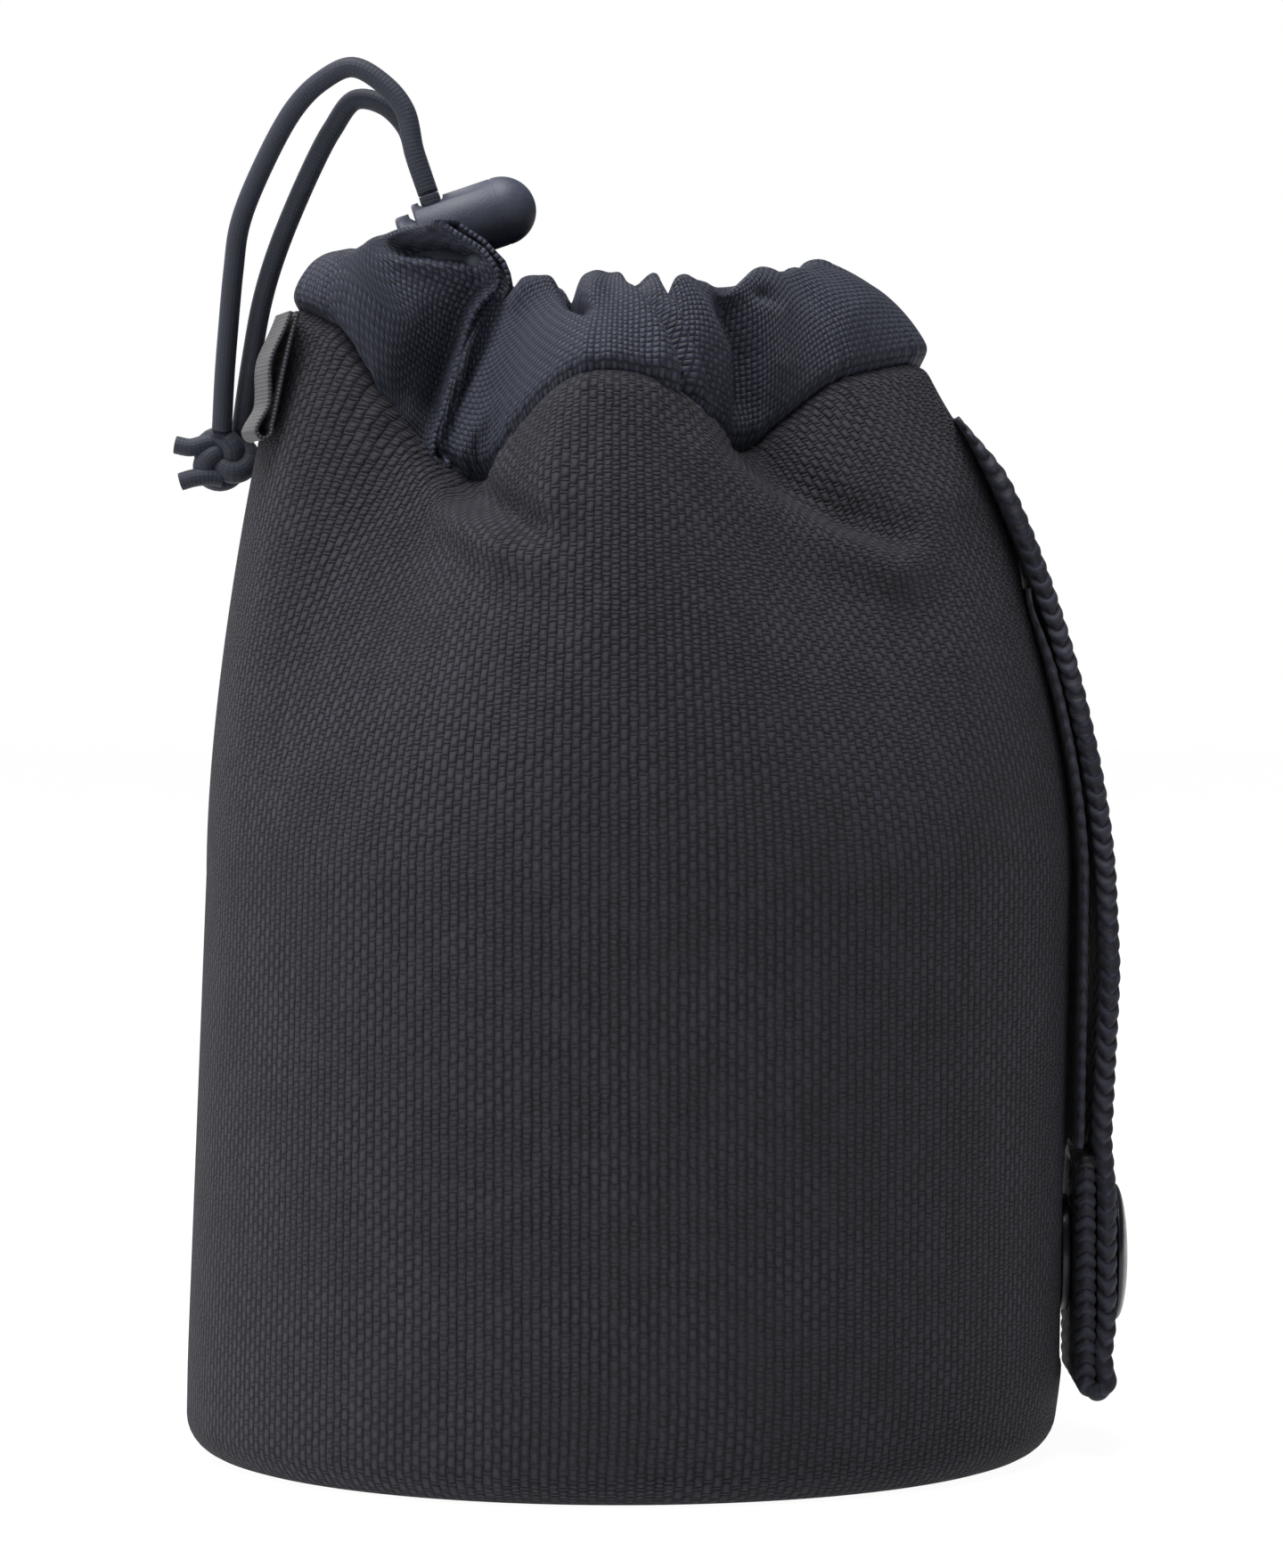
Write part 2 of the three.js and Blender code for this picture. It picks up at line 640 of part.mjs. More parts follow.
// The free strands above the lock.
function addStrands() {
  const start = BELOW_LOCK + CLEARANCE;
  const strand = (y, hanging) => {
    const straight = [start, start + STRAND_STRAIGHT].map((z) => inLock(CORD_HOLE, y, z));
    return tube([...straight, ...points(hanging)], CORD_DIAMETER / 2, STRAND_STEPS);
  };
  add("cord_strand_outer", strand(-CORD_PITCH / 2, OUTER_STRAND), cordSheath);
  add("cord_strand_inner", strand(CORD_PITCH / 2, INNER_STRAND), cordSheath);
}

// Overhand knot: three loops round a core, with the two cut ends of the cord.
function addKnot() {
  const tubeRadius = CORD_DIAMETER / 2;
  const loopRadius = KNOT_WIDTH / 2 - tubeRadius;
  const core = new THREE.SphereGeometry(KNOT_CORE_DIAMETER / 2, 10, 6);
  const loops = [0, 60, 120].map((turn) => {
    const loop = new THREE.TorusGeometry(loopRadius, tubeRadius, CORD_SIDES, 10);
    return loop.rotateX(radians(KNOT_LEAN)).rotateZ(radians(turn)).rotateY(radians(KNOT_TWIST));
  });
  const reach = KNOT_WIDTH / 2 + TAIL_LENGTH;
  const tails = TAIL_OFFSETS.map(([y, z]) => {
    const tail = new THREE.CylinderGeometry(tubeRadius, tubeRadius, reach, CORD_SIDES);
    return tail.rotateZ(Math.PI / 2).translate(-reach / 2, y, z);
  });
  const knot = add("cord_knot", join(core, ...loops, ...tails), cordSheath);
  knot.position.set(...KNOT_CENTRE);
  knot.scale.z = KNOT_HEIGHT / KNOT_WIDTH;
}

// Side label: a short loop of ribbon that hangs from the seam.
function addLabel() {
  const sides = [-COLUMN_ANGLE, 0, COLUMN_ANGLE];
  const reach = (aside, z) =>
    radiusAtHeight(bodyOutline(LABEL_ANGLE + aside), z) * Math.cos(radians(aside));
  const wall = (z) => Math.max(...sides.map((aside) => reach(aside, z)));
  const seam = along(SEAM, LABEL_ANGLE);
  const top = seam.y - CLEARANCE;
  const bottom = seam.y - LABEL_DROP + LABEL_BULGE;
  const inner = CLEARANCE + LABEL_THICKNESS / 2;
  const outer = inner + LABEL_THICKNESS + CLEARANCE;
  const heights = [0, 0.25, 0.5, 0.75, 1].map((share) => lerp(top, bottom, share));
  const ply = (out) => heights.map((z) => new THREE.Vector2(wall(z) + out, z));
  const middle = wall(bottom) + (inner + outer + LABEL_BULGE) / 2;
  const half = (outer - inner + LABEL_BULGE) / 2;
  const foot = bottom - LABEL_BULGE / 2;
  const turn = new THREE.EllipseCurve(middle, foot, half, LABEL_BULGE, 0, Math.PI, true);
  const line = [...ply(outer), ...turn.getPoints(6), ...ply(inner).reverse()];
  const label = add("side_label", ribbon(line, LABEL_THICKNESS, LABEL_WIDTH), labelRibbon);
  label.rotation.z = radians(LABEL_ANGLE - 90);
}

// Belt strap: down the side, folded up at the bottom, and riveted through both plies by the cap.
function addStrap() {
  const half = STRAP_THICKNESS / 2;
  const heights = wallHeightsBetween(SNAP_HEIGHT, STRAP_TOP).concat(STRAP_TOP).reverse();
  const down = heights.map((z) => new THREE.Vector2(strapFace(z) - half, z));
  const foldRadius = (INNER_PLY_GAP + STRAP_THICKNESS) / 2;
  const foldMiddle = SNAP_FACE - half - foldRadius;
  const foldHeight = STRAP_BOTTOM + half + foldRadius;
  const fold = new THREE.EllipseCurve(foldMiddle, foldHeight, foldRadius, foldRadius, 0, Math.PI, true);
  const end = new THREE.Vector2(INNER_PLY + half, STRAP_BOTTOM + STRAP_RETURN);
  const strap = ribbon([...down, ...fold.getPoints(FOLD_STEPS), end], STRAP_THICKNESS, STRAP_WIDTH);
  const hole = snapHole(SHANK_DIAMETER, INNER_PLY - CLEARANCE, SNAP_FACE + CLEARANCE);
  add("belt_strap", cut(strap, hole), webbing);
}

function addBaseWebbing() {
  const between = wallHeightsBetween(WEBBING_BOTTOM_HEIGHT, WEBBING_TOP_HEIGHT);
  const heights = [WEBBING_BOTTOM_HEIGHT, ...between, WEBBING_TOP_HEIGHT];
  const out = CLEARANCE + WEBBING_THICKNESS / 2;
  const line = heights.map((z) => new THREE.Vector2(wallAt(z) + out, z));
  add("base_webbing", ribbon(line, WEBBING_THICKNESS, STRAP_WIDTH), webbing);
}

// Press stud, in four pieces: cap and socket on the strap, stud and eyelet on the wall.
function addSnap() {
  const snap = new THREE.Group();
  snap.position.z = SNAP_HEIGHT;
  pouch.add(snap);
  const shank = SHANK_DIAMETER / 2;
  const hole = shank + CLEARANCE;
  const capRadius = CAP_DIAMETER / 2;
  const capBase = SNAP_FACE + CLEARANCE;
  const socketBack = SOCKET_FACE + SOCKET_THICKNESS - SOCKET_BACK;
  const edge = METAL_EDGE;
  const cap = [
    [0, socketBack],
    [shank, socketBack],
    [shank, capBase],
    [capRadius - edge / 2, capBase],
    ...domed(capRadius, capBase + edge, CAP_RISE - edge),
  ];
  add("snap_cap", turned(cap), darkMetal, snap);
  const studRadius = STUD_DIAMETER / 2;
  const nub = NUB_DIAMETER / 2;
  const socket = [
    [hole, socketBack],
    [nub + CLEARANCE, socketBack],
    [nub + CLEARANCE, SOCKET_FACE],
    [studRadius - edge / 2, SOCKET_FACE],
    [studRadius, SOCKET_FACE + edge / 2],
    [studRadius, SOCKET_FACE + SOCKET_THICKNESS],
    [hole, SOCKET_FACE + SOCKET_THICKNESS],
    [hole, socketBack],
  ];
  add("snap_socket", turned(socket), darkMetal, snap);
  const plate = STUD_BASE + STUD_PLATE;
  const tip = plate + NUB_HEIGHT;
  const stud = [
    [0, tip - CLEARANCE],
    [hole, tip - CLEARANCE],
    [hole, STUD_BASE],
    [studRadius, STUD_BASE],
    [studRadius, plate - edge / 2],
    [studRadius - edge / 2, plate],
    [nub - edge / 4, plate],
    [nub, tip - edge / 4],
    [nub - edge / 4, tip],
    [0, tip],
  ];
  add("snap_stud", turned(stud), darkMetal, snap);
  const eyelet = [
    [0, EYELET_BASE],
    [EYELET_DIAMETER / 2, EYELET_BASE],
    [EYELET_DIAMETER / 2, EYELET_BASE + EYELET_PLATE],
    [shank, EYELET_BASE + EYELET_PLATE],
    [shank, tip - 2 * CLEARANCE],
    [0, tip - 2 * CLEARANCE],
  ];
  add("snap_eyelet", turned(eyelet), darkMetal, snap);
}

addWall();
addBase();
addChannel();
addLock();
addDrawcord();
addStrands();
addKnot();
addLabel();
addStrap();
addBaseWebbing();
addSnap();

export default pouch;
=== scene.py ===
# The drawstring pouch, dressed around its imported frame. Sizes in the helpers are millimetres, in the
# frame of the part, and become metres when a mesh is made. Pixels are those of the 1440 x 1760 photograph.
import functools
import math

import bmesh
import bpy
import numpy as np
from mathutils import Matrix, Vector


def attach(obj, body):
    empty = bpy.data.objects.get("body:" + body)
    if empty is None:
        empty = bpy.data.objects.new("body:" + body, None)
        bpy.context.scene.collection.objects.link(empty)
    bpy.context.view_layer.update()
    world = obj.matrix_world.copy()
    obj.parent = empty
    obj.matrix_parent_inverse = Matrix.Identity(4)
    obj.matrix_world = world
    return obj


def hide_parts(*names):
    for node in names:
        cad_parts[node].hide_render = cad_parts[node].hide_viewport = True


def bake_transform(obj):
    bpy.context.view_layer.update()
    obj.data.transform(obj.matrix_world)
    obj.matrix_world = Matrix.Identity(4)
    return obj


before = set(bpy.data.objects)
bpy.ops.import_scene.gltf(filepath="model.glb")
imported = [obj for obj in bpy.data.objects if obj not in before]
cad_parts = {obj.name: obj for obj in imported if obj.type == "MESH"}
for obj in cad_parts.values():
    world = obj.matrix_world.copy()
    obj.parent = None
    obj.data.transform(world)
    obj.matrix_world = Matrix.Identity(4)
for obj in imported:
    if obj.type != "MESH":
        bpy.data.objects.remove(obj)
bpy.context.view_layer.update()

MM = 0.001
SCENE = bpy.context.scene

# Camera, as the photograph's perspective gives it: its horizon is row 669 and the pouch's axis column 699
PHOTO = (1440, 1760)
AXIS_COLUMN = 699
HORIZON_ROW = 669
CAMERA_DISTANCE = 650
CAMERA_HEIGHT = 95
PIXELS_PER_MM = 10
FILM_WIDTH = 36

# Sizes of the part
CLEARANCE = 0.3
WEBBING_GAP = 0.16
FLAT_ROUNDING = 0.25
FLAT_HALF_ANGLE = 30
FLAT_FADE = (17, 26)
BODY_RADIUS = 49.1
BODY_LEAN = 1.3
BODY_LEFT_SLIMMER = 1.2
SHOULDER_HEIGHT = 64
SHOULDER_UPRIGHT = 0.3
RIDGE_RUN = (8, 15)
PLEAT_RUN = (14, 7)
LABEL_SIDE_SLIMMER = 3.5
BASE_CORNER = 3.8
SHELL_THICKNESS = 0.8
FOAM_THICKNESS = 3.2
FOAM_THICKNESS_AT_SEAM = 1.1
LINING_THICKNESS = 0.5
BASE_THICKNESS = 1
BASE_FOAM_THICKNESS = 3
SEAM = (
    (-40, 24.5, 108.5), (-2, 36.3, 119), (36, 22.5, 111.5), (62, 28.8, 119.2), (88, 34.7, 121.2),
    (124, 24, 111), (152, 36, 121.5), (180, 24.5, 111.5), (212, 36.5, 124), (238, 25, 113),
    (277, 37.2, 126.8), (291, 34.6, 125), (307.5, 27.4, 110.9), (320, 24.5, 108.5),
)
MOUTH = (
    (-40, 20.5, 126.7), (-18, 20, 127.6), (4, 20, 127.6), (36, 20, 127.2), (62, 20.6, 129),
    (90, 22, 130), (150, 20, 127), (210, 20.5, 127.5), (240, 24, 130.5), (265, 28.2, 131.2),
    (280, 29.2, 131.4), (296, 28.3, 132.9), (308, 26.3, 133.6), (312, 25.8, 132.8),
)
HEM_SLANT_RUN = 60
CHANNEL_FABRIC = 0.6
CHANNEL_SPACE = 0.8
CHANNEL_SETBACK = 3
CORD_DIAMETER = 2.3
CORD_PITCH = 2.4
LOCK_CENTRE = (-17.2, -4, 136.7)
LOCK_TILT = 18.6
BARREL_DIAMETER = 7.7
BARREL_LENGTH = 13.3
BARREL_WALL = 0.55
BARREL_FLOOR = 3
BUTTON_REACH = 2.2
PLUNGER_TRAVEL = 1.4
CORD_HOLE_INSET = 2.3
PLUNGER_LENGTH = 8
SPRING_WIRE = 0.5
SPRING_TURNS = 4
SPRING_STEPS = 32
BELOW_LOCK = 4.2
FROM_RIGHT_END = (
    (-17.8, -5.9, 127.7), (-17.2, -8, 126.9), (-16.3, -11, 127.2), (-15.1, -14, 127.3),
)
FROM_LEFT_END = (
    (-15.6, -16.6, 131.6), (-15, -14.2, 132), (-15.4, -10, 131), (-15.2, -6.2, 129.4),
    (-16, -3.4, 127.6), (-17.6, -2.7, 128),
)
STRAND_STRAIGHT = 4.6
OUTER_STRAND = (
    (-24.3, -5, 149.1), (-26.7, -4.6, 152.1), (-30.2, -4, 154), (-33.7, -3, 152.5), (-36.7, -2, 149.6),
    (-40.7, 0, 142.6), (-43.1, 1.6, 136.7), (-43.9, 3, 131.7), (-44.7, 5.4, 124.7), (-45.2, 7.2, 119.8),
    (-45.6, 8.8, 113.95),
)
INNER_STRAND = (
    (-24.2, -2.2, 147.4), (-26.8, -1.6, 150), (-30, -0.8, 150.6), (-32.6, 0.2, 147.4),
    (-34.7, 1, 143.6), (-38.7, 3.4, 134.7), (-40.7, 5.2, 128.7), (-42.2, 8, 121.7), (-43.6, 11, 113.5),
)
KNOT_CENTRE = (-45.4, 10, 110.6)
KNOT_SIZE = 0.9
KNOT_SWELL = 0.28
TAIL_SLIMMER = 0.12
KNOT_TAILS = (
    ((-45.8, 9.6, 112.6), (-47.6, 9.0, 112.3), (-49.2, 8.8, 111.9), (-50.9, 8.9, 112.2)),
    ((-45.6, 9.2, 108.4), (-47.4, 8.8, 108.6), (-48.9, 8.7, 108.4), (-50.3, 8.8, 108.0)),
)
LABEL_ANGLE = 281
LABEL_WIDTH = 12
LABEL_DROP = 14
LABEL_THICKNESS = 0.4
LABEL_BULGE = 1
STRAP_WIDTH = 25
STRAP_THICKNESS = 2
STRAP_BELOW_SEAM = 6.5
STRAP_HUG = 0.2
STRAP_LOOSE_HEIGHT = 50
STRAP_SWEEP = 0.6
STRAP_BOTTOM = 6.3
STRAP_RETURN = 27
WEBBING_THICKNESS = 0.9
WEBBING_BOTTOM_HEIGHT = 34.2
WEBBING_TOP_HEIGHT = 90
SNAP_HEIGHT = 21.5
SNAP_DENT = 1.9
CAP_DIAMETER = 15.2
CAP_RISE = 1.8
STUD_DIAMETER = 13
STUD_PLATE = 1
NUB_DIAMETER = 5.4
NUB_HEIGHT = 0.6
SOCKET_THICKNESS = 1
SOCKET_BACK = 0.4
SHANK_DIAMETER = 3.4
EYELET_DIAMETER = 10
EYELET_PLATE = 0.5


def new_object(name, data):
    """An object of the scene from its mesh, lamp or camera."""
    made = bpy.data.objects.new(name, data)
    SCENE.collection.objects.link(made)
    return made


def make_camera():
    data = bpy.data.cameras.new("camera")
    data.sensor_width = FILM_WIDTH
    data.lens = FILM_WIDTH * CAMERA_DISTANCE * PIXELS_PER_MM / PHOTO[1]
    data.shift_x = (PHOTO[0] / 2 - AXIS_COLUMN) / PHOTO[1]
    data.shift_y = (HORIZON_ROW - PHOTO[1] / 2) / PHOTO[1]
    data.clip_start = 0.01
    SCENE.camera = new_object("camera", data)
    SCENE.camera.location = (0, -CAMERA_DISTANCE * MM, CAMERA_HEIGHT * MM)
    SCENE.camera.rotation_euler = (math.pi / 2, 0, 0)


def photo_scale(y):
    """Pixels of the photograph to a millimetre at a depth."""
    return PIXELS_PER_MM * CAMERA_DISTANCE / (CAMERA_DISTANCE + y)


def in_photo(points):
    """The column and row of the photograph at which points show."""
    scale = photo_scale(points[..., 1])
    return AXIS_COLUMN + points[..., 0] * scale, HORIZON_ROW + (CAMERA_HEIGHT - points[..., 2]) * scale


def from_photo(column, row, y):
    """The points that show at columns and rows of the photograph, at depths y."""
    scale = photo_scale(y)
    return np.stack([(column - AXIS_COLUMN) / scale, y, CAMERA_HEIGHT + (HORIZON_ROW - row) / scale], axis=-1)


# Small sums

# Points worked out between two points of a curve
CURVE_STEPS = 40


def smooth(value, low, high):
    share = np.clip((value - low) / (high - low), 0, 1)
    return share * share * (3 - 2 * share)


def lerp(a, b, share):
    return a + (b - a) * share


def soft_min(a, b, width):
    """The lesser of two values, rounded off over a width."""
    apart = np.clip((b - a) / width, -30, 30)
    return a - width * np.log1p(np.exp(-apart))


def unit(v):
    return v / np.maximum(np.linalg.norm(v, axis=-1, keepdims=True), 1e-9)


def along(table, angle):
    """Radius and height at each angle, eased from one row of a table to the next."""
    rows = np.array(table, float)
    first, last = rows[0, 0], rows[-1, 0]
    angle = np.asarray(angle, float)
    closed = last - first == 360
    place = first + np.mod(angle - first, 360) if closed else np.clip(angle, first, last)
    climb = np.diff(rows[:, 1:], axis=0) / np.diff(rows[:, :1], axis=0)
    steep = np.zeros((len(rows), 2))
    level = climb[:-1] * climb[1:] <= 0
    steep[1:-1] = np.where(level, 0, 2 * climb[:-1] * climb[1:] / np.where(level, 1, climb[:-1] + climb[1:]))
    after = np.clip(np.searchsorted(rows[:, 0], place), 1, len(rows) - 1)
    a, b = rows[after - 1], rows[after]
    width = (b[..., 0] - a[..., 0])[..., None]
    share = (place - a[..., 0])[..., None] / width
    eased = lerp(a[..., 1:], b[..., 1:], share * share * (3 - 2 * share))
    ends = steep[after - 1] * share * (1 - share) ** 2 + steep[after] * share**2 * (share - 1)
    value = eased + ends * width
    return value[..., 0], value[..., 1]


def around(angle, radius, height):
    turn = np.radians(angle)
    return np.stack([radius * np.sin(turn), -radius * np.cos(turn), height + 0 * turn], axis=-1)


def run_along(line):
    """The way along a line up to each of its points."""
    return np.concatenate([[0], np.cumsum(np.linalg.norm(np.diff(line, axis=0), axis=1))])


def run_up(grid):
    """The way up each column of a grid to each of its points."""
    return np.cumsum(np.linalg.norm(np.diff(grid, axis=1, prepend=grid[:, :1]), axis=-1), axis=1)


def resample(line, run, even):
    """The points of a line at other places of its run."""
    return np.stack([np.interp(even, run, part) for part in line.T], axis=1)


def between(t, low, high, a, b):
    """The value at t on the straight line from a at low to b at high."""
    return (high - t) / (high - low) * a + (t - low) / (high - low) * b


def catmull(points, count):
    """Points evenly spaced along a centripetal Catmull-Rom curve."""
    p = np.array(points, float)
    p = np.vstack([2 * p[0] - p[1], p, 2 * p[-1] - p[-2]])
    made = []
    for a, b, c, d in zip(p[:-3], p[1:-2], p[2:-1], p[3:]):
        t1 = np.linalg.norm(b - a) ** 0.5
        t2 = t1 + np.linalg.norm(c - b) ** 0.5
        t3 = t2 + np.linalg.norm(d - c) ** 0.5
        t = np.linspace(t1, t2, CURVE_STEPS, endpoint=False)[:, None]
        bc = between(t, t1, t2, b, c)
        abc = between(t, 0, t2, between(t, 0, t1, a, b), bc)
        bcd = between(t, t1, t3, bc, between(t, t2, t3, c, d))
        made.append(between(t, t1, t2, abc, bcd))
    made = np.vstack([*made, p[-2]])
    run = run_along(made)
    return resample(made, run, np.linspace(0, run[-1], count))


def grid_normals(p, ring):
    """Outward normals of a grid of points, whose columns run round and whose rows run up."""
    if ring:
        across = np.roll(p, -1, axis=0) - np.roll(p, 1, axis=0)
    else:
        across = np.gradient(p, axis=0)
    return unit(np.cross(across, np.gradient(p, axis=1)))


def stroke(px, py, points, width):
    """How high a soft line stands, drawn in the photograph as (column, row, height) points."""
    path = np.array(points, float)
    best = np.full(px.shape, 1e9)
    height = np.zeros(px.shape)
    for (x0, y0, z0), (x1, y1, z1) in zip(path[:-1], path[1:]):
        dx, dy = x1 - x0, y1 - y0
        share = np.clip(((px - x0) * dx + (py - y0) * dy) / (dx * dx + dy * dy), 0, 1)
        apart = np.hypot(px - x0 - share * dx, py - y0 - share * dy)
        nearer = apart < best
        height = np.where(nearer, lerp(z0, z1, share), height)
        best = np.where(nearer, apart, best)
    return height * np.exp(-((best / width) ** 2))


# Meshes

# Points of a turned mesh that are nearer than this, in metres, are one point
JOIN_WITHIN = 1e-6


def new_mesh(name, verts, faces):
    """A mesh from points in metres."""
    mesh = bpy.data.meshes.new(name)
    faces = faces.tolist() if isinstance(faces, np.ndarray) else faces
    mesh.from_pydata(np.asarray(verts, float).tolist(), [], faces)
    return mesh


def new_piece(name, node, slot, verts, faces, cloth=None, body="pouch"):
    """A piece from points in millimetres, in place of a CAD node, riding on a body unless that is None.
    cloth is each point's place on the uncut cloth."""
    mesh = new_mesh(name, np.asarray(verts, float) * MM, faces)
    mesh.validate()
    mesh.shade_smooth()
    if cloth is not None:
        spot = np.zeros((len(verts), 3), np.float32)
        spot[:, : cloth.shape[1]] = cloth
        mesh.attributes.new("cloth", "FLOAT_VECTOR", "POINT").data.foreach_set("vector", spot.ravel())
    mesh.materials.append(material_of(slot))
    piece = new_object(name, mesh)
    if body:
        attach(piece, body)
    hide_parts(node)
    return piece


def grid_faces(columns, rows, ring, start=0, flip=False):
    last = columns if ring else columns - 1
    c, r = np.meshgrid(np.arange(last), np.arange(rows - 1), indexing="ij")
    nxt = (c + 1) % columns
    quads = np.stack([c * rows + r, nxt * rows + r, nxt * rows + r + 1, c * rows + r + 1], axis=-1)
    quads = quads.reshape(-1, 4) + start
    return quads[:, ::-1] if flip else quads


def sheet_mesh(front, back, ring):
    """Points and faces of a closed solid between an outer and an inner grid of the same size."""
    columns, rows = front.shape[:2]
    count = columns * rows
    faces = [grid_faces(columns, rows, ring), grid_faces(columns, rows, ring, count, True)]
    c = np.arange(columns if ring else columns - 1)
    nxt = (c + 1) % columns
    for row, turned in ((0, False), (rows - 1, True)):
        a, b = c * rows + row, nxt * rows + row
        rim = np.stack([a, a + count, b + count, b], axis=-1)
        faces.append(rim[:, ::-1] if turned else rim)
    if not ring:
        r = np.arange(rows - 1)
        for column, turned in ((0, False), (columns - 1, True)):
            a, b = column * rows + r, column * rows + r + 1
            rim = np.stack([a, b, b + count, a + count], axis=-1)
            faces.append(rim[:, ::-1] if turned else rim)
    return np.concatenate([front.reshape(-1, 3), back.reshape(-1, 3)]), np.concatenate(faces)


def frames_along(path):
    """Two directions square to a path at each of its points, without twist."""
    ahead = unit(np.gradient(path, axis=0))
    side = np.cross(ahead[0], (0, 1, 0) if abs(ahead[0][1]) < 0.9 else (1, 0, 0))
    sides = []
    for direction in ahead:
        side = side - direction * np.dot(side, direction)
        side = side / np.linalg.norm(side)
        sides.append(side)
    sides = np.array(sides)
    return sides, np.cross(ahead, sides)


def tube_mesh(path, radius, sides, relief=None):
    """A closed tube round a path with flat ends. relief adds to the radius at each (run, turn)."""
    run = run_along(path)
    left, up = frames_along(path)
    turn = np.linspace(0, 2 * np.pi, sides, endpoint=False)
    r = radius + np.zeros((len(path), sides))
    if relief is not None:
        r = r + relief(run[:, None], turn[None, :])
    ring = left[:, None] * np.cos(turn)[None, :, None] + up[:, None] * np.sin(turn)[None, :, None]
    p = path[:, None] + r[..., None] * ring
    rows = len(path)
    faces = grid_faces(sides, rows, True).tolist()
    verts = p.transpose(1, 0, 2).reshape(-1, 3)
    spot = flat_pairs(turn[:, None] * radius, run[None, :])
    for row, turned in ((0, True), (rows - 1, False)):
        a = np.arange(sides) * rows + row
        fan = np.stack([a, np.roll(a, -1), np.full(sides, len(verts))], axis=-1)
        faces += (fan[:, ::-1] if turned else fan).tolist()
        verts = np.vstack([verts, path[row]])
        spot = np.vstack([spot, [0, run[row]]])
    return verts, faces, spot


def flat_pairs(u, v):
    """The pairs (u, v) of a grid's points, one after the other."""
    return np.stack(np.broadcast_arrays(u, v), axis=-1).reshape(-1, 2)


def turned_mesh(profile, segments=96):
    """A body of revolution about +X from a closed profile of (radius, x), round from axis to axis."""
    radius, x = np.array(profile, float).T
    turn = np.linspace(0, 2 * np.pi, segments, endpoint=False)[:, None]
    p = np.stack(np.broadcast_arrays(x, -radius * np.sin(turn), radius * np.cos(turn)), axis=-1)
    return p.reshape(-1, 3), grid_faces(segments, len(radius), True)


def rounded(profile, radius, steps=5):
    """A profile with its corners rounded off, its first and last points kept."""
    made = [np.array(profile[0], float)]
    for before, corner, after in zip(profile[:-2], profile[1:-1], profile[2:]):
        before, corner, after = (np.array(v, float) for v in (before, corner, after))
        reach = [min(radius, np.linalg.norm(v - corner) * 0.45) for v in (before, after)]
        start = corner + unit(before - corner) * reach[0]
        end = corner + unit(after - corner) * reach[1]
        for t in np.linspace(0, 1, steps):
            made.append((1 - t) ** 2 * start + 2 * t * (1 - t) * corner + t * t * end)
    return [*made, np.array(profile[-1], float)]


def mend(piece, close=0):
    """Turns a mesh's faces outward, and first joins the points that lie within a distance of each other,
    such as those of a revolution on its axis."""
    work = bmesh.new()
    work.from_mesh(piece.data)
    if close:
        bmesh.ops.remove_doubles(work, verts=work.verts, dist=close)
        bmesh.ops.dissolve_degenerate(work, edges=work.edges, dist=close)
    bmesh.ops.recalc_face_normals(work, faces=work.faces)
    work.to_mesh(piece.data)
    work.free()


def add_turned(name, node, slot, profile, body, place):
    """A piece turned about +X from its profile and put in its place."""
    verts, faces = turned_mesh(profile)
    piece = new_piece(name, node, slot, place(verts), faces, body=body)
    mend(piece, JOIN_WITHIN)
    return piece


# Materials. Each pattern is worked out from the attribute "cloth", millimetres along the cloth.

WHITE = (255, 255, 255)
BLUISH = (190, 196, 215)
BODY_BRICK = 1.62
COLLAR_PITCH = 0.62
LINING_PITCH = 0.45


def summed(operation, turned=False):
    """A way to reckon with wires, which adds one node for the sum."""

    def reckon(self, *others):
        return self.nodes.math(operation, *((*others, self) if turned else (self, *others)))

    return reckon


class Wire:
    """An output of a node, reckoned with like a number."""

    def __init__(self, nodes, socket):
        self.nodes = nodes
        self.socket = socket

    def beside(self, name):
        """Another output of the same node."""
        return Wire(self.nodes, self.socket.node.outputs[name])

    __add__ = summed("ADD")
    __sub__ = summed("SUBTRACT")
    __rsub__ = summed("SUBTRACT", True)
    __mul__ = summed("MULTIPLY")
    __truediv__ = summed("DIVIDE")
    __mod__ = summed("MODULO")
    __pow__ = summed("POWER")
    __abs__ = summed("ABSOLUTE")
    times_plus = summed("MULTIPLY_ADD")
    at_least = summed("MAXIMUM")
    floor = summed("FLOOR")
    fract = summed("FRACT")
    sine = summed("SINE")
    pingpong = summed("PINGPONG")


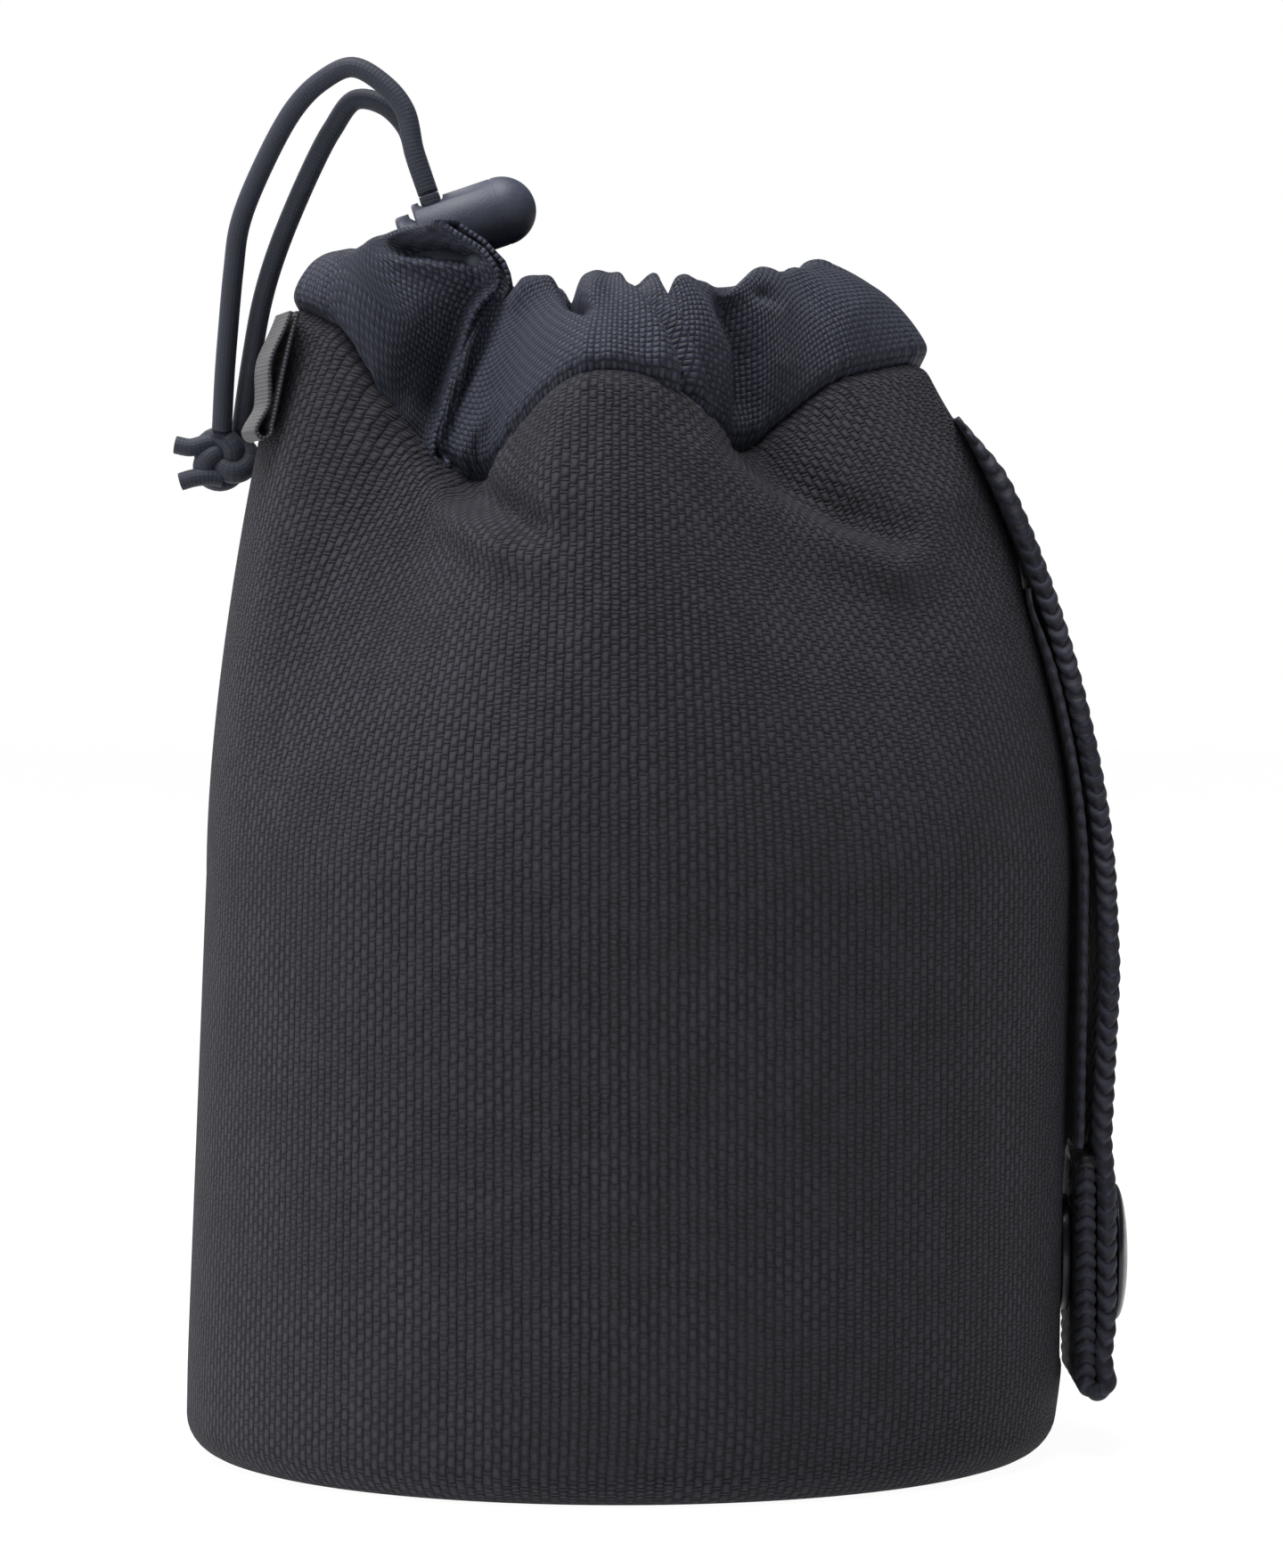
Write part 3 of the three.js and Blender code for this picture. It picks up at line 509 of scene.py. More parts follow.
class Nodes:
    """The node tree of a new material, or of a new world."""

    def __init__(self, name, world=False):
        self.owner = (bpy.data.worlds if world else bpy.data.materials).new(name)
        self.owner.use_nodes = True
        self.tree = self.owner.node_tree
        self.tree.nodes.clear()
        self.out = self.tree.nodes.new("ShaderNodeOutputWorld" if world else "ShaderNodeOutputMaterial")

    def put(self, socket, value):
        """Fills an input. Three numbers are a colour as a screen shows it, 0 to 255."""
        if isinstance(value, Wire):
            self.tree.links.new(value.socket, socket)
        else:
            socket.default_value = srgb(*value) if isinstance(value, tuple) and len(value) == 3 else value

    def make(self, kind, inputs, output=0, **settings):
        """One of the outputs of a new node, whose inputs are given by name or number."""
        node = self.tree.nodes.new(kind)
        for key, value in settings.items():
            setattr(node, key, value)
        for key, value in inputs.items():
            self.put(node.inputs[key], value)
        return Wire(self, node.outputs[output])

    def math(self, operation, *values):
        return self.make("ShaderNodeMath", dict(enumerate(values)), operation=operation)

    def cloth(self):
        """Millimetres across and along the uncut cloth."""
        spot = self.make("ShaderNodeAttribute", {}, "Vector", attribute_name="cloth")
        across = self.make("ShaderNodeSeparateXYZ", {0: spot})
        return across, across.beside("Y")

    def vector(self, x, y, z=0):
        return self.make("ShaderNodeCombineXYZ", {0: x, 1: y, 2: z})

    def noise(self, vector, scale, detail=2, roughness=0.5):
        inputs = {"Vector": vector, "Scale": scale, "Detail": detail, "Roughness": roughness}
        return self.make("ShaderNodeTexNoise", inputs, "Fac")

    def grain(self, scale, detail=2, roughness=0.5):
        """Noise through the whole body of a piece, scale to the metre."""
        return self.noise(self.make("ShaderNodeTexCoord", {}, "Object"), scale, detail, roughness)

    def fibres(self, u, v, across, along, detail=3):
        return self.noise(self.vector(u * across, v * along), 1, detail, 0.7)

    def white(self, vector):
        return self.make("ShaderNodeTexWhiteNoise", {"Vector": vector}, "Value", noise_dimensions="3D")

    def mix(self, share, a, b):
        return self.make("ShaderNodeMix", {0: share, 6: a, 7: b}, 2, data_type="RGBA")

    def ramp(self, value, low, high, to_low=0, to_high=1):
        return self.make("ShaderNodeMapRange", dict(enumerate((value, low, high, to_low, to_high))))

    def bump(self, height, distance):
        return self.make("ShaderNodeBump", {"Height": height, "Distance": distance})

    def close(self, kind, inputs):
        self.put(self.out.inputs[0], self.make(kind, inputs))
        return self.owner

    def finish(self, color, roughness, normal, metallic=0, sheen=0, sheen_tint=WHITE, coat=0, specular=0.5):
        inputs = {"Base Color": color, "Roughness": roughness, "Normal": normal, "Metallic": metallic}
        inputs |= {"Specular IOR Level": specular, "Sheen Weight": sheen, "Sheen Tint": sheen_tint}
        if coat:
            inputs |= {"Coat Weight": coat, "Coat Roughness": 0.12}
        return self.close("ShaderNodeBsdfPrincipled", inputs)


def srgb(*color):
    """A linear colour from one as a screen shows it, 0 to 255."""
    values = [v / 255 for v in color]
    return (*(v / 12.92 if v <= 0.04045 else ((v + 0.055) / 1.055) ** 2.4 for v in values), 1)


def brick_weave(n, u, v, width, height, wander):
    """Thick yarns that float up the cloth as bricks, each column half a brick off the last, with the thin
    yarn that crosses between them: height, one value a brick, and where the thin yarn shows."""
    drift = n.noise(n.vector(u, v), 0.35)
    rough = n.noise(n.vector(u, v, 5), 1.1)
    u = u + drift.times_plus(2 * wander * width, rough * (0.34 * width))
    v = n.noise(n.vector(u, v, 9), 1.3).times_plus(0.4 * width, v)
    across = u / width
    column = across.floor()
    jog = n.noise(n.vector(column, v * 0.2, 3), 1, 1) * 0.5
    half = abs(column) % 2 * 0.5
    up = v / height + (half + jog)
    x = abs(across.fract().times_plus(2, -1))
    y = abs(up.fract().times_plus(2, -1))
    thick = (1 - x**2) * (1 - (y / 0.76) ** 3).at_least(0) ** 0.6
    thin_y = 1 - ((1 - y) / 0.25) ** 2
    thin = thin_y.at_least(0) * ((1 - x**5) * 0.66)
    waist = (1 - (y / 0.24) ** 2).at_least(0)
    short = n.ramp(n.noise(n.vector(u, v, 13), 0.11), 0.44, 0.56, 0, 0.5)
    thick = thick * (1 - waist * short)
    return thick.at_least(thin), n.white(n.vector(column, up.floor(), 7)), thin


def body_material():
    n = Nodes("body_fabric_woven")
    u, v = n.cloth()
    h, each, thin = brick_weave(n, u, v, BODY_YARN, BODY_BRICK, 0.13)
    fibres = n.fibres(u, v, 9, 2.6)
    height = fibres.times_plus(0.35, (each - 0.5).times_plus(0.3, h))
    cloud = n.noise(n.vector(u, v * 0.6, 21), 0.16, 3, 0.6)
    # Painted shade and light: the tone follows each yarn's height, near black in the gaps between floats and
    # lighter on their rounded tops
    tone = n.mix(n.ramp(h, 0.25, 0.95), (3, 3, 7), (58, 56, 66))
    tone = n.mix(n.ramp(each, 0.3, 1) * 0.3, tone, (58, 57, 67))
    # Painted highlight: the thin crossing yarn shows lighter
    tone = n.mix(thin * n.ramp(each, 0.2, 1, 0.05, 0.5), tone, (64, 64, 75))
    tone = n.mix(n.ramp(n.grain(55), 0.3, 0.75, 0, 0.22), tone, (38, 35, 40))
    tone = n.mix(n.ramp(cloud, 0.35, 0.7, 0, 0.3), tone, (24, 22, 27))
    tone = n.mix(n.ramp(fibres, 0.5, 0.85, 0, 0.4), tone, (66, 65, 77))
    return n.finish(tone, 0.8, n.bump(height, 0.00042), sheen=0.1, sheen_tint=(186, 186, 204), specular=0.28)


def fine_weave(n, u, v, pitch):
    """A plain weave: its height, 1 where the warp is on top and else 0, and one value a knuckle."""
    a, b = u / pitch, v / pitch
    column, row = a.floor(), b.floor()
    parity = abs(column + row) % 2
    along_x, along_y = (1 - abs(part.fract().times_plus(2, -1)) ** 2 for part in (a, b))
    mixed = along_x * along_y**0.6 * parity + along_y * along_x**0.6 * (1 - parity)
    return mixed, parity, n.white(n.vector(column, row, 2))


def collar_material():
    n = Nodes("collar_fabric_woven")
    h, parity, each = fine_weave(n, *n.cloth(), COLLAR_PITCH)
    yarn = n.mix(parity, (38, 41, 56), (57, 61, 80))
    # Painted shade: the gaps between the knuckles are near black, the tone following the weave's height
    tone = n.mix(n.ramp(h, 0.05, 0.85), (12, 13, 21), yarn)
    # Painted highlight: scattered knuckles are lighter, as glints on the yarn
    tone = n.mix(n.ramp(each, 0.6, 1, 0, 0.15), tone, (62, 67, 83))
    bump = n.bump((each - 0.5).times_plus(0.2, h), 0.00016)
    return n.finish(tone, 0.62, bump, sheen=0.1, sheen_tint=BLUISH, specular=0.32)


def lining_material():
    n = Nodes("lining_fabric_woven")
    h = fine_weave(n, *n.cloth(), LINING_PITCH)[0]
    # Painted shade: darker in the gaps between yarns, the tone following the weave's height
    tone = n.mix(n.ramp(h, 0.1, 0.8), (40, 42, 48), (78, 80, 86))
    return n.finish(tone, 0.75, n.bump(h, 0.00012), sheen=0.1, specular=0.35)


def padding_material():
    n = Nodes("padding_foam")
    grain = n.grain(2600, 3, 0.7)
    return n.finish(n.mix(grain, (66, 68, 72), (104, 106, 110)), 0.95, n.bump(grain, 0.0003), specular=0.2)


def webbing_material():
    n = Nodes("webbing_ribbed")
    u, v = n.cloth()
    twill = v.times_plus(3.14159, u.pingpong(2.1) * 1.9).sine()
    fibres = n.fibres(u, v, 7, 3)
    height = fibres.times_plus(0.5, twill * 0.5)
    # Painted shade and highlight: darker in the grooves of the twill, lighter on its ribs
    tone = n.mix(n.ramp(height, -0.3, 0.8), (15, 16, 26), (44, 46, 62))
    tone = n.mix(n.ramp(fibres, 0.55, 0.85, 0, 0.4), tone, (60, 63, 80))
    cut = strap_line()[1][-1] - MELTED_LENGTH
    melted = n.ramp(fibres.times_plus(0.8, v), cut + 0.3, cut + 0.6)
    tone = n.mix(melted, tone, (10, 12, 20))
    return n.finish(tone, n.ramp(melted, 0, 1, 0.62, 0.42), n.bump(height, 0.00025), sheen=0.06, specular=0.4)


def cord_material():
    n = Nodes("cord_braid")
    u, v = n.cloth()
    fibres = n.fibres(u, v, 8, 8, 2)
    first, second = (u.times_plus(7.83, v * lay).sine() for lay in (7, -7))
    height = fibres.times_plus(0.5, first * second * 0.3)
    # Painted shade: darker in the grooves of the braid, the tone following its height
    tone = n.mix(n.ramp(height, -0.6, 0.9), (40, 43, 54), (50, 54, 67))
    tone = n.mix(n.ramp(fibres, 0.55, 0.9, 0, 0.3), tone, (72, 77, 92))
    return n.finish(tone, 0.66, n.bump(height, 0.00006), sheen=0.12, sheen_tint=BLUISH, specular=0.4)


def plastic_material():
    n = Nodes("lock_plastic_moulded")
    wear = n.grain(240, 3)
    tone = n.mix(n.ramp(wear, 0.35, 0.75), (60, 64, 79), (74, 78, 95))
    bump = n.bump(n.grain(3800, 2, 0.6), 0.00004)
    return n.finish(tone, n.ramp(wear, 0.3, 0.8, 0.5, 0.62), bump, specular=0.45)


def metal_material():
    n = Nodes("snap_metal_lacquered")
    mottle = n.grain(900, 3, 0.6)
    tone = n.mix(n.ramp(n.grain(160), 0.4, 0.8), (32, 34, 42), (48, 50, 60))
    rough = n.ramp(mottle, 0.3, 0.8, 0.28, 0.4)
    return n.finish(tone, rough, n.bump(mottle, 0.00002), metallic=0.3, coat=0.15)


def steel_material():
    n = Nodes("spring_steel_drawn")
    drawn = n.grain(3000)
    tone = n.mix(drawn, (150, 152, 156), (196, 198, 202))
    return n.finish(tone, n.ramp(drawn, 0.3, 0.7, 0.25, 0.4), n.bump(drawn, 0.00001), metallic=1)


def label_material():
    n = Nodes("label_ribbon_woven")
    u, v = n.cloth()
    height = (v * 14).sine().times_plus(0.6, (u * 22).sine() * 0.3)
    edge = n.ramp(abs(u), LABEL_WIDTH / 2 - 0.9, LABEL_WIDTH / 2 - 0.5)
    # Painted shade: darker in the grooves between the ribbon's ribs, the tone following their height
    tone = n.mix(n.ramp(height, -0.8, 0.8), (46, 45, 49), (68, 66, 69))
    tone = n.mix(edge * 0.85, tone, (30, 32, 42))
    return n.finish(tone, 0.55, n.bump(height, 0.00008), sheen=0.15, specular=0.45)


@functools.cache
def material_of(slot):
    """The material of a slot, made when it is first asked for."""
    makers = {
        "body_fabric": body_material,
        "collar_fabric": collar_material,
        "lining_fabric": lining_material,
        "padding": padding_material,
        "webbing": webbing_material,
        "cord_sheath": cord_material,
        "lock_plastic": plastic_material,
        "snap_metal": metal_material,
        "spring_steel": steel_material,
        "label_ribbon": label_material,
    }
    return makers[slot]()


# The body's outline


def snap_stack():
    """Places along +X of the press stud's pieces and the strap's plies."""
    wall = BODY_RADIUS - SNAP_DENT
    stud = wall + CLEARANCE
    socket = stud + STUD_PLATE + CLEARANCE
    inner = socket + SOCKET_THICKNESS + CLEARANCE
    face = inner + 2 * STRAP_THICKNESS + CLEARANCE
    return wall, stud, socket, inner, face


SNAP_WALL, STUD_BASE, SOCKET_FACE, INNER_PLY, SNAP_FACE = snap_stack()


RIDGE = max(row[1] for row in SEAM)
VALLEY = min(row[1] for row in SEAM)


def natural_outline(angle, wall_heights, shoulder_steps):
    """Radius and height of the wall at each angle, from the lowest wall height to the seam."""
    seam_r, seam_z = along(SEAM, angle)
    pleat = np.clip((RIDGE - seam_r) / (RIDGE - VALLEY), 0, 1)
    side = np.sin(np.radians(angle))
    full = RIDGE_RUN[0] + LABEL_SIDE_SLIMMER * np.minimum(side, 0)
    lean = BODY_LEAN * side - BODY_LEFT_SLIMMER * np.minimum(side, 0) ** 2
    wall_r = BODY_RADIUS + lean[:, None] * wall_heights[None] / SHOULDER_HEIGHT
    wall_z = np.broadcast_to(wall_heights[None], wall_r.shape)
    widest = BODY_RADIUS + lean
    t = np.linspace(0, 1, shoulder_steps + 1)[None]
    weights = [(1 - t) ** 3, 3 * t * (1 - t) ** 2, 3 * t * t * (1 - t), t**3]
    radii = [widest, widest, seam_r + lerp(full, PLEAT_RUN[0], pleat), seam_r]
    upright = lerp(SHOULDER_HEIGHT, seam_z, SHOULDER_UPRIGHT)
    below_seam = seam_z - lerp(RIDGE_RUN[1], PLEAT_RUN[1], pleat)
    heights = [SHOULDER_HEIGHT + 0 * seam_z, upright, below_seam, seam_z]
    r, z = (sum(w * v[:, None] for w, v in zip(weights, values)) for values in (radii, heights))
    return np.concatenate([wall_r, r], axis=1), np.concatenate([wall_z, z], axis=1)


SIDE_HEIGHTS = np.linspace(BASE_CORNER, SHOULDER_HEIGHT, 80)[:-1]
SIDE_R, SIDE_Z = (v[0] for v in natural_outline(np.array([90.0]), SIDE_HEIGHTS, 120))
STRAP_TOP = SIDE_Z[-1] - STRAP_BELOW_SEAM


def strap_face(z):
    """The strap's outer face along +X."""
    side = np.interp(z, SIDE_Z, SIDE_R)
    loose = SNAP_FACE - np.interp(STRAP_LOOSE_HEIGHT, SIDE_Z, SIDE_R)
    share = np.clip((z - STRAP_LOOSE_HEIGHT) / (STRAP_TOP - STRAP_LOOSE_HEIGHT), 0, 1)
    return np.where(share == 0, SNAP_FACE, side + lerp(STRAP_HUG, loose, (1 - share) ** STRAP_SWEEP))


def flat_at(z, near=1):
    """The flat that the strap and its webbing press into the wall along +X, with the dimple near the stud."""
    under_strap = strap_face(z) - STRAP_THICKNESS - CLEARANCE
    under_webbing = under_strap - WEBBING_THICKNESS - CLEARANCE
    free = lerp(under_webbing, under_strap, smooth(z, WEBBING_TOP_HEIGHT + 3, WEBBING_TOP_HEIGHT + 9))
    half = STUD_DIAMETER / 2 + 1
    dent = 1 - smooth(np.abs(z - SNAP_HEIGHT), half, half + 8)
    return lerp(free, SNAP_WALL, dent * near)


def press_flat(angle, r, z):
    """The wall's radii with the strap's flat pressed into them, fading out to its sides."""
    aside = np.abs(np.mod(angle + 90, 360) - 180)[:, None]
    turn = np.radians(np.minimum(aside, FLAT_HALF_ANGLE))
    near = 1 - smooth(r * np.sin(turn), STUD_DIAMETER / 2 + 1, STUD_DIAMETER / 2 + 6)
    limit = flat_at(z, near) / np.cos(turn)
    pressed = soft_min(r, limit, FLAT_ROUNDING)
    return np.where(aside < FLAT_HALF_ANGLE, lerp(pressed, r, smooth(aside, *FLAT_FADE)), r)


# Folds of the shoulder, drawn where the photograph shows them: width in pixels, (column, row, height in mm)
BODY_FOLDS = (
    (23, ((498, 522, -0.9), (545, 560, -1.9), (592, 588, -1.4), (628, 602, -0.2))),
    (26, ((405, 425, 0.3), (448, 510, 0.9), (503, 580, 1.5), (566, 618, 1.6), (625, 634, 0.2))),
    (26, ((650, 430, 0.4), (622, 510, 1), (622, 565, 1), (634, 606, 0))),
    (23, ((836, 503, -1.1), (890, 543, -1.9), (950, 576, -2), (1010, 598, -1.1), (1046, 600, 0))),
    (27, ((795, 508, 0.5), (858, 566, 1.2), (930, 614, 1.7), (1000, 643, 1.6), (1052, 624, 0.2))),
    (34, ((1075, 480, 0.6), (1062, 560, 0.8), (1050, 610, 0))),
)


SEAM_SWELL = 0.35
SIDE_SEAM_DEPTH = 0.35
SIDE_SEAM_WIDTH = 0.9


def wave(count, turn, rng):
    """A wave with a number of crests round the pouch, which starts anywhere."""
    return np.cos(count * turn + rng.uniform(0, 6.28))


def puckers(angle, away):
    """Small wrinkles that the seam draws into the cloth on both its sides, away mm from it."""
    rng = np.random.default_rng(11)
    turn = np.radians(angle)[:, None]
    waves = [wave(count, turn, rng) for count in (67, 83, 101, 122)]
    return sum(waves) * 0.1 * np.exp(-away / 3.2) * smooth(away, 0, 1.2)


def swell(away):
    """How a cloth rounds out beside the seam, away mm from it."""
    return SEAM_SWELL * smooth(away, 0, 1.6) * np.exp(-away / 8)


def tuck(p, away, inward, down):
    """The turn of a cloth's edge into the seam: how its points move, away mm from it."""
    share = np.exp(-((away / 1.1) ** 2))[..., None]
    return share * (unit(p * (-1, -1, 0)) * inward - np.array([0, 0, down]))


def drawn_folds(px, py, folds):
    """How far a table of folds moves the points that show at columns and rows of the photograph."""
    return sum(stroke(px, py, points, width) for width, points in folds)


def body_relief(angle, p):
    """How far the shoulder's folds move each point of the wall out, and how far each is from the seam."""
    drawn = smooth(-p[..., 1], 0, 12) * drawn_folds(*in_photo(p), BODY_FOLDS)
    step = np.linalg.norm(np.diff(p, axis=1, append=p[:, -1:]), axis=-1)
    away = np.cumsum(step[:, ::-1], axis=1)[:, ::-1]
    return drawn + puckers(angle, away) + swell(away), away


# How the foot of the worn wall draws in all round and to the left, and how high up, in mm
FOOT_TUCK = 0.6
FOOT_SHIFT = 0.4
FOOT_HEIGHT = 7

# The lining's cloth: its radius in mm and the flat length of its round in metres
LINING_RADIUS = 44
DISC_EDGE = 0.4
DISC_SEGMENTS = 120

BODY_COLUMNS = 600
BODY_YARNS = 302
BODY_YARN = 2 * math.pi * BODY_RADIUS / BODY_YARNS
CORNER_ROWS = 9
WALL_ROWS = 100
SHOULDER_ROWS = 120


def body_grid():
    """The body's outer face from its side seam at the back all round, with its place on the uncut cloth."""
    angle = 180 + np.arange(BODY_COLUMNS) * 360 / BODY_COLUMNS
    heights = np.linspace(BASE_CORNER, SHOULDER_HEIGHT, WALL_ROWS)[:-1]
    r, z = natural_outline(angle, heights, SHOULDER_ROWS)
    r = press_flat(angle, r, z)
    turn = np.linspace(0, np.pi / 2, CORNER_ROWS)[:-1]
    corner_r = r[:, :1] - BASE_CORNER * (1 - np.sin(turn))[None]
    corner_z = np.broadcast_to(BASE_CORNER * (1 - np.cos(turn))[None], corner_r.shape)
    r = np.concatenate([corner_r, r], axis=1)
    z = np.concatenate([corner_z, z], axis=1)
    p = around(angle[:, None], r, z)
    foot = np.exp(-((z / FOOT_HEIGHT) ** 2))
    p = p * (1 - FOOT_TUCK / BODY_RADIUS * foot)[..., None] ** np.array([1, 1, 0])
    p[..., 0] -= FOOT_SHIFT * foot
    relief, away = body_relief(angle, p)
    p = p + grid_normals(p, True) * relief[..., None]
    p = p + tuck(p, away, 0.8, 0)
    aside = np.minimum(angle - 180, 540 - angle)[:, None] * math.radians(BODY_RADIUS)
    p = p - grid_normals(p, True) * (SIDE_SEAM_DEPTH * np.exp(-((aside / SIDE_SEAM_WIDTH) ** 2)))[..., None]
    run = run_up(p)
    u = np.broadcast_to((np.radians(angle) * BODY_RADIUS)[:, None], run.shape)
    return p, np.stack([u, run], axis=-1)


def closed(grid):
    """A ring's grid with its first column once more at its end."""
    return np.concatenate([grid, grid[:1]])


def add_sheet(name, node, slot, front, back, ring, spots, body="pouch"):
    """A cloth between its two faces. spots is the place on the uncut cloth of each point of a face."""
    cloth = None if spots is None else np.concatenate([spots] * 2)
    return new_piece(name, node, slot, *sheet_mesh(front, back, ring), cloth, body)


def add_body():
    outer, cloth = body_grid()
    normal = grid_normals(outer, True)
    cloth = closed(cloth)
    cloth[-1, :, 0] += 2 * math.pi * BODY_RADIUS
    faces = closed(outer), closed(outer - normal * SHELL_THICKNESS)
    body = add_sheet("body_cloth", "outer_shell", "body_fabric", *faces, False, cloth.reshape(-1, 2))
    add_wall_layers(outer, normal)


def add_wall_layers(outer, normal):
    """The padding and the lining behind the wall, on every fourth column and every third row."""
    part, side = (grid[::4, CORNER_ROWS - 1 :: 3] for grid in (outer, normal))
    share = (part[..., 2] - SHOULDER_HEIGHT) / (part[:, -1:, 2] - SHOULDER_HEIGHT)
    out = SHELL_THICKNESS + CLEARANCE
    back = out + lerp(FOAM_THICKNESS, FOAM_THICKNESS_AT_SEAM, smooth(share, 0.2, 1))
    faces = part - side * out, part - side * back[..., None]
    padding = add_sheet("wall_padding", "foam_wall", "padding", *faces, True, None)
    faces = [part - side * (back + CLEARANCE + more)[..., None] for more in (0, LINING_THICKNESS)]
    run = run_up(faces[1])
    angle = np.arange(len(part)) * 2 * np.pi / len(part)
    spots = flat_pairs((angle * LINING_RADIUS)[:, None], run)
    lining = add_sheet("wall_lining", "lining", "lining_fabric", *faces, True, spots)


def disc_mesh(radius, bottom, top):
    profile = rounded([(0, bottom), (radius, bottom), (radius, top), (0, top)], DISC_EDGE)
    verts, faces = turned_mesh(profile, DISC_SEGMENTS)
    return verts[:, [2, 1, 0]] * (1, -1, 1), faces


def add_base():
    foam_bottom = BASE_THICKNESS + CLEARANCE
    foam_top = foam_bottom + BASE_FOAM_THICKNESS
    floor = foam_top + CLEARANCE
    foam_back = SHELL_THICKNESS + CLEARANCE + FOAM_THICKNESS
    panel_radius = BODY_RADIUS - BASE_CORNER - FOOT_TUCK - FOOT_SHIFT - 0.2
    foam_radius = BODY_RADIUS - foam_back - CLEARANCE
    floor_radius = BODY_RADIUS - foam_back - 2 * CLEARANCE - LINING_THICKNESS
    pieces = (
        ("base_cloth", panel_radius, 0.0, BASE_THICKNESS, "body_fabric", "base_panel"),
        ("base_padding", foam_radius, foam_bottom, foam_top, "padding", "base_foam"),
        ("base_floor", floor_radius, floor, floor + LINING_THICKNESS, "lining_fabric", "base_lining"),
    )
    for name, radius, bottom, top, slot, node in pieces:
        verts, faces = disc_mesh(radius, bottom, top)
        piece = new_piece(name, node, slot, verts, faces, verts[:, :2])
        mend(piece, JOIN_WITHIN)


# Collar. Rows run up from the seam, round the cord and back down inside.
UP_ROWS = 64
RIM_ROWS = 14
DOWN_ROWS = 34
RIM_RADIUS = CORD_DIAMETER / 2 + CLEARANCE + CHANNEL_FABRIC
COLLAR_COLUMNS = 900
COLLAR_LAST_ANGLE = 323
LEFT_END_RUN = 30
CHANNEL_FLAT = 1.5
COLLAR_BULGE = 3.6
COLLAR_FIRST_ANGLE = -51
HEM_LEAN = 14
FRONT_OF_COLLAR = (-2, 5)
COLLAR_CLOTH_RADIUS = 38


def bezier2(a, b, c, steps):
    """Rows of points along a curve from a to c that bends towards b, one run for each column."""
    t = np.linspace(0, 1, steps)[None, :, None]
    a, b, c = a[:, None], b[:, None], c[:, None]
    return (1 - t) ** 2 * a + 2 * t * (1 - t) * b + t * t * c


def channel_outline(angle):
    """(radius, height) rows of the collar at each angle, from the seam over the cord to the inner edge."""
    seam = np.stack(along(SEAM, angle), axis=-1)
    fullness = np.clip((seam[:, 0] - VALLEY) / (RIDGE - VALLEY), 0, 1)[:, None]
    centre = np.stack(along(MOUTH, angle), axis=-1)
    run = centre - seam
    half = np.linalg.norm(run, axis=-1, keepdims=True) / 2
    run = run / (2 * half)
    out = np.stack([run[:, 1], -run[:, 0]], axis=-1)
    top = centre + out * RIM_RADIUS
    bend = top - run * half + out * COLLAR_BULGE * fullness
    start = unit(bend - seam)
    inside = np.stack([-start[:, 1], start[:, 0]], axis=-1)
    bottom = seam + run * CHANNEL_SETBACK + inside * (2 * CHANNEL_FABRIC + CHANNEL_SPACE)
    back = centre - out * RIM_RADIUS
    back_bend = back - run * half + out * COLLAR_BULGE * fullness * 0.6
    turn = np.arctan2(out[:, 1], out[:, 0])[:, None] + np.linspace(0, np.pi, RIM_ROWS + 2)[None, 1:-1]
    rim = centre[:, None] + RIM_RADIUS * np.stack([np.cos(turn), np.sin(turn)], axis=-1)
    up = bezier2(seam, bend, top, UP_ROWS)
    down = bezier2(back, back_bend, bottom, DOWN_ROWS)
    return np.concatenate([up, rim, down], axis=1)


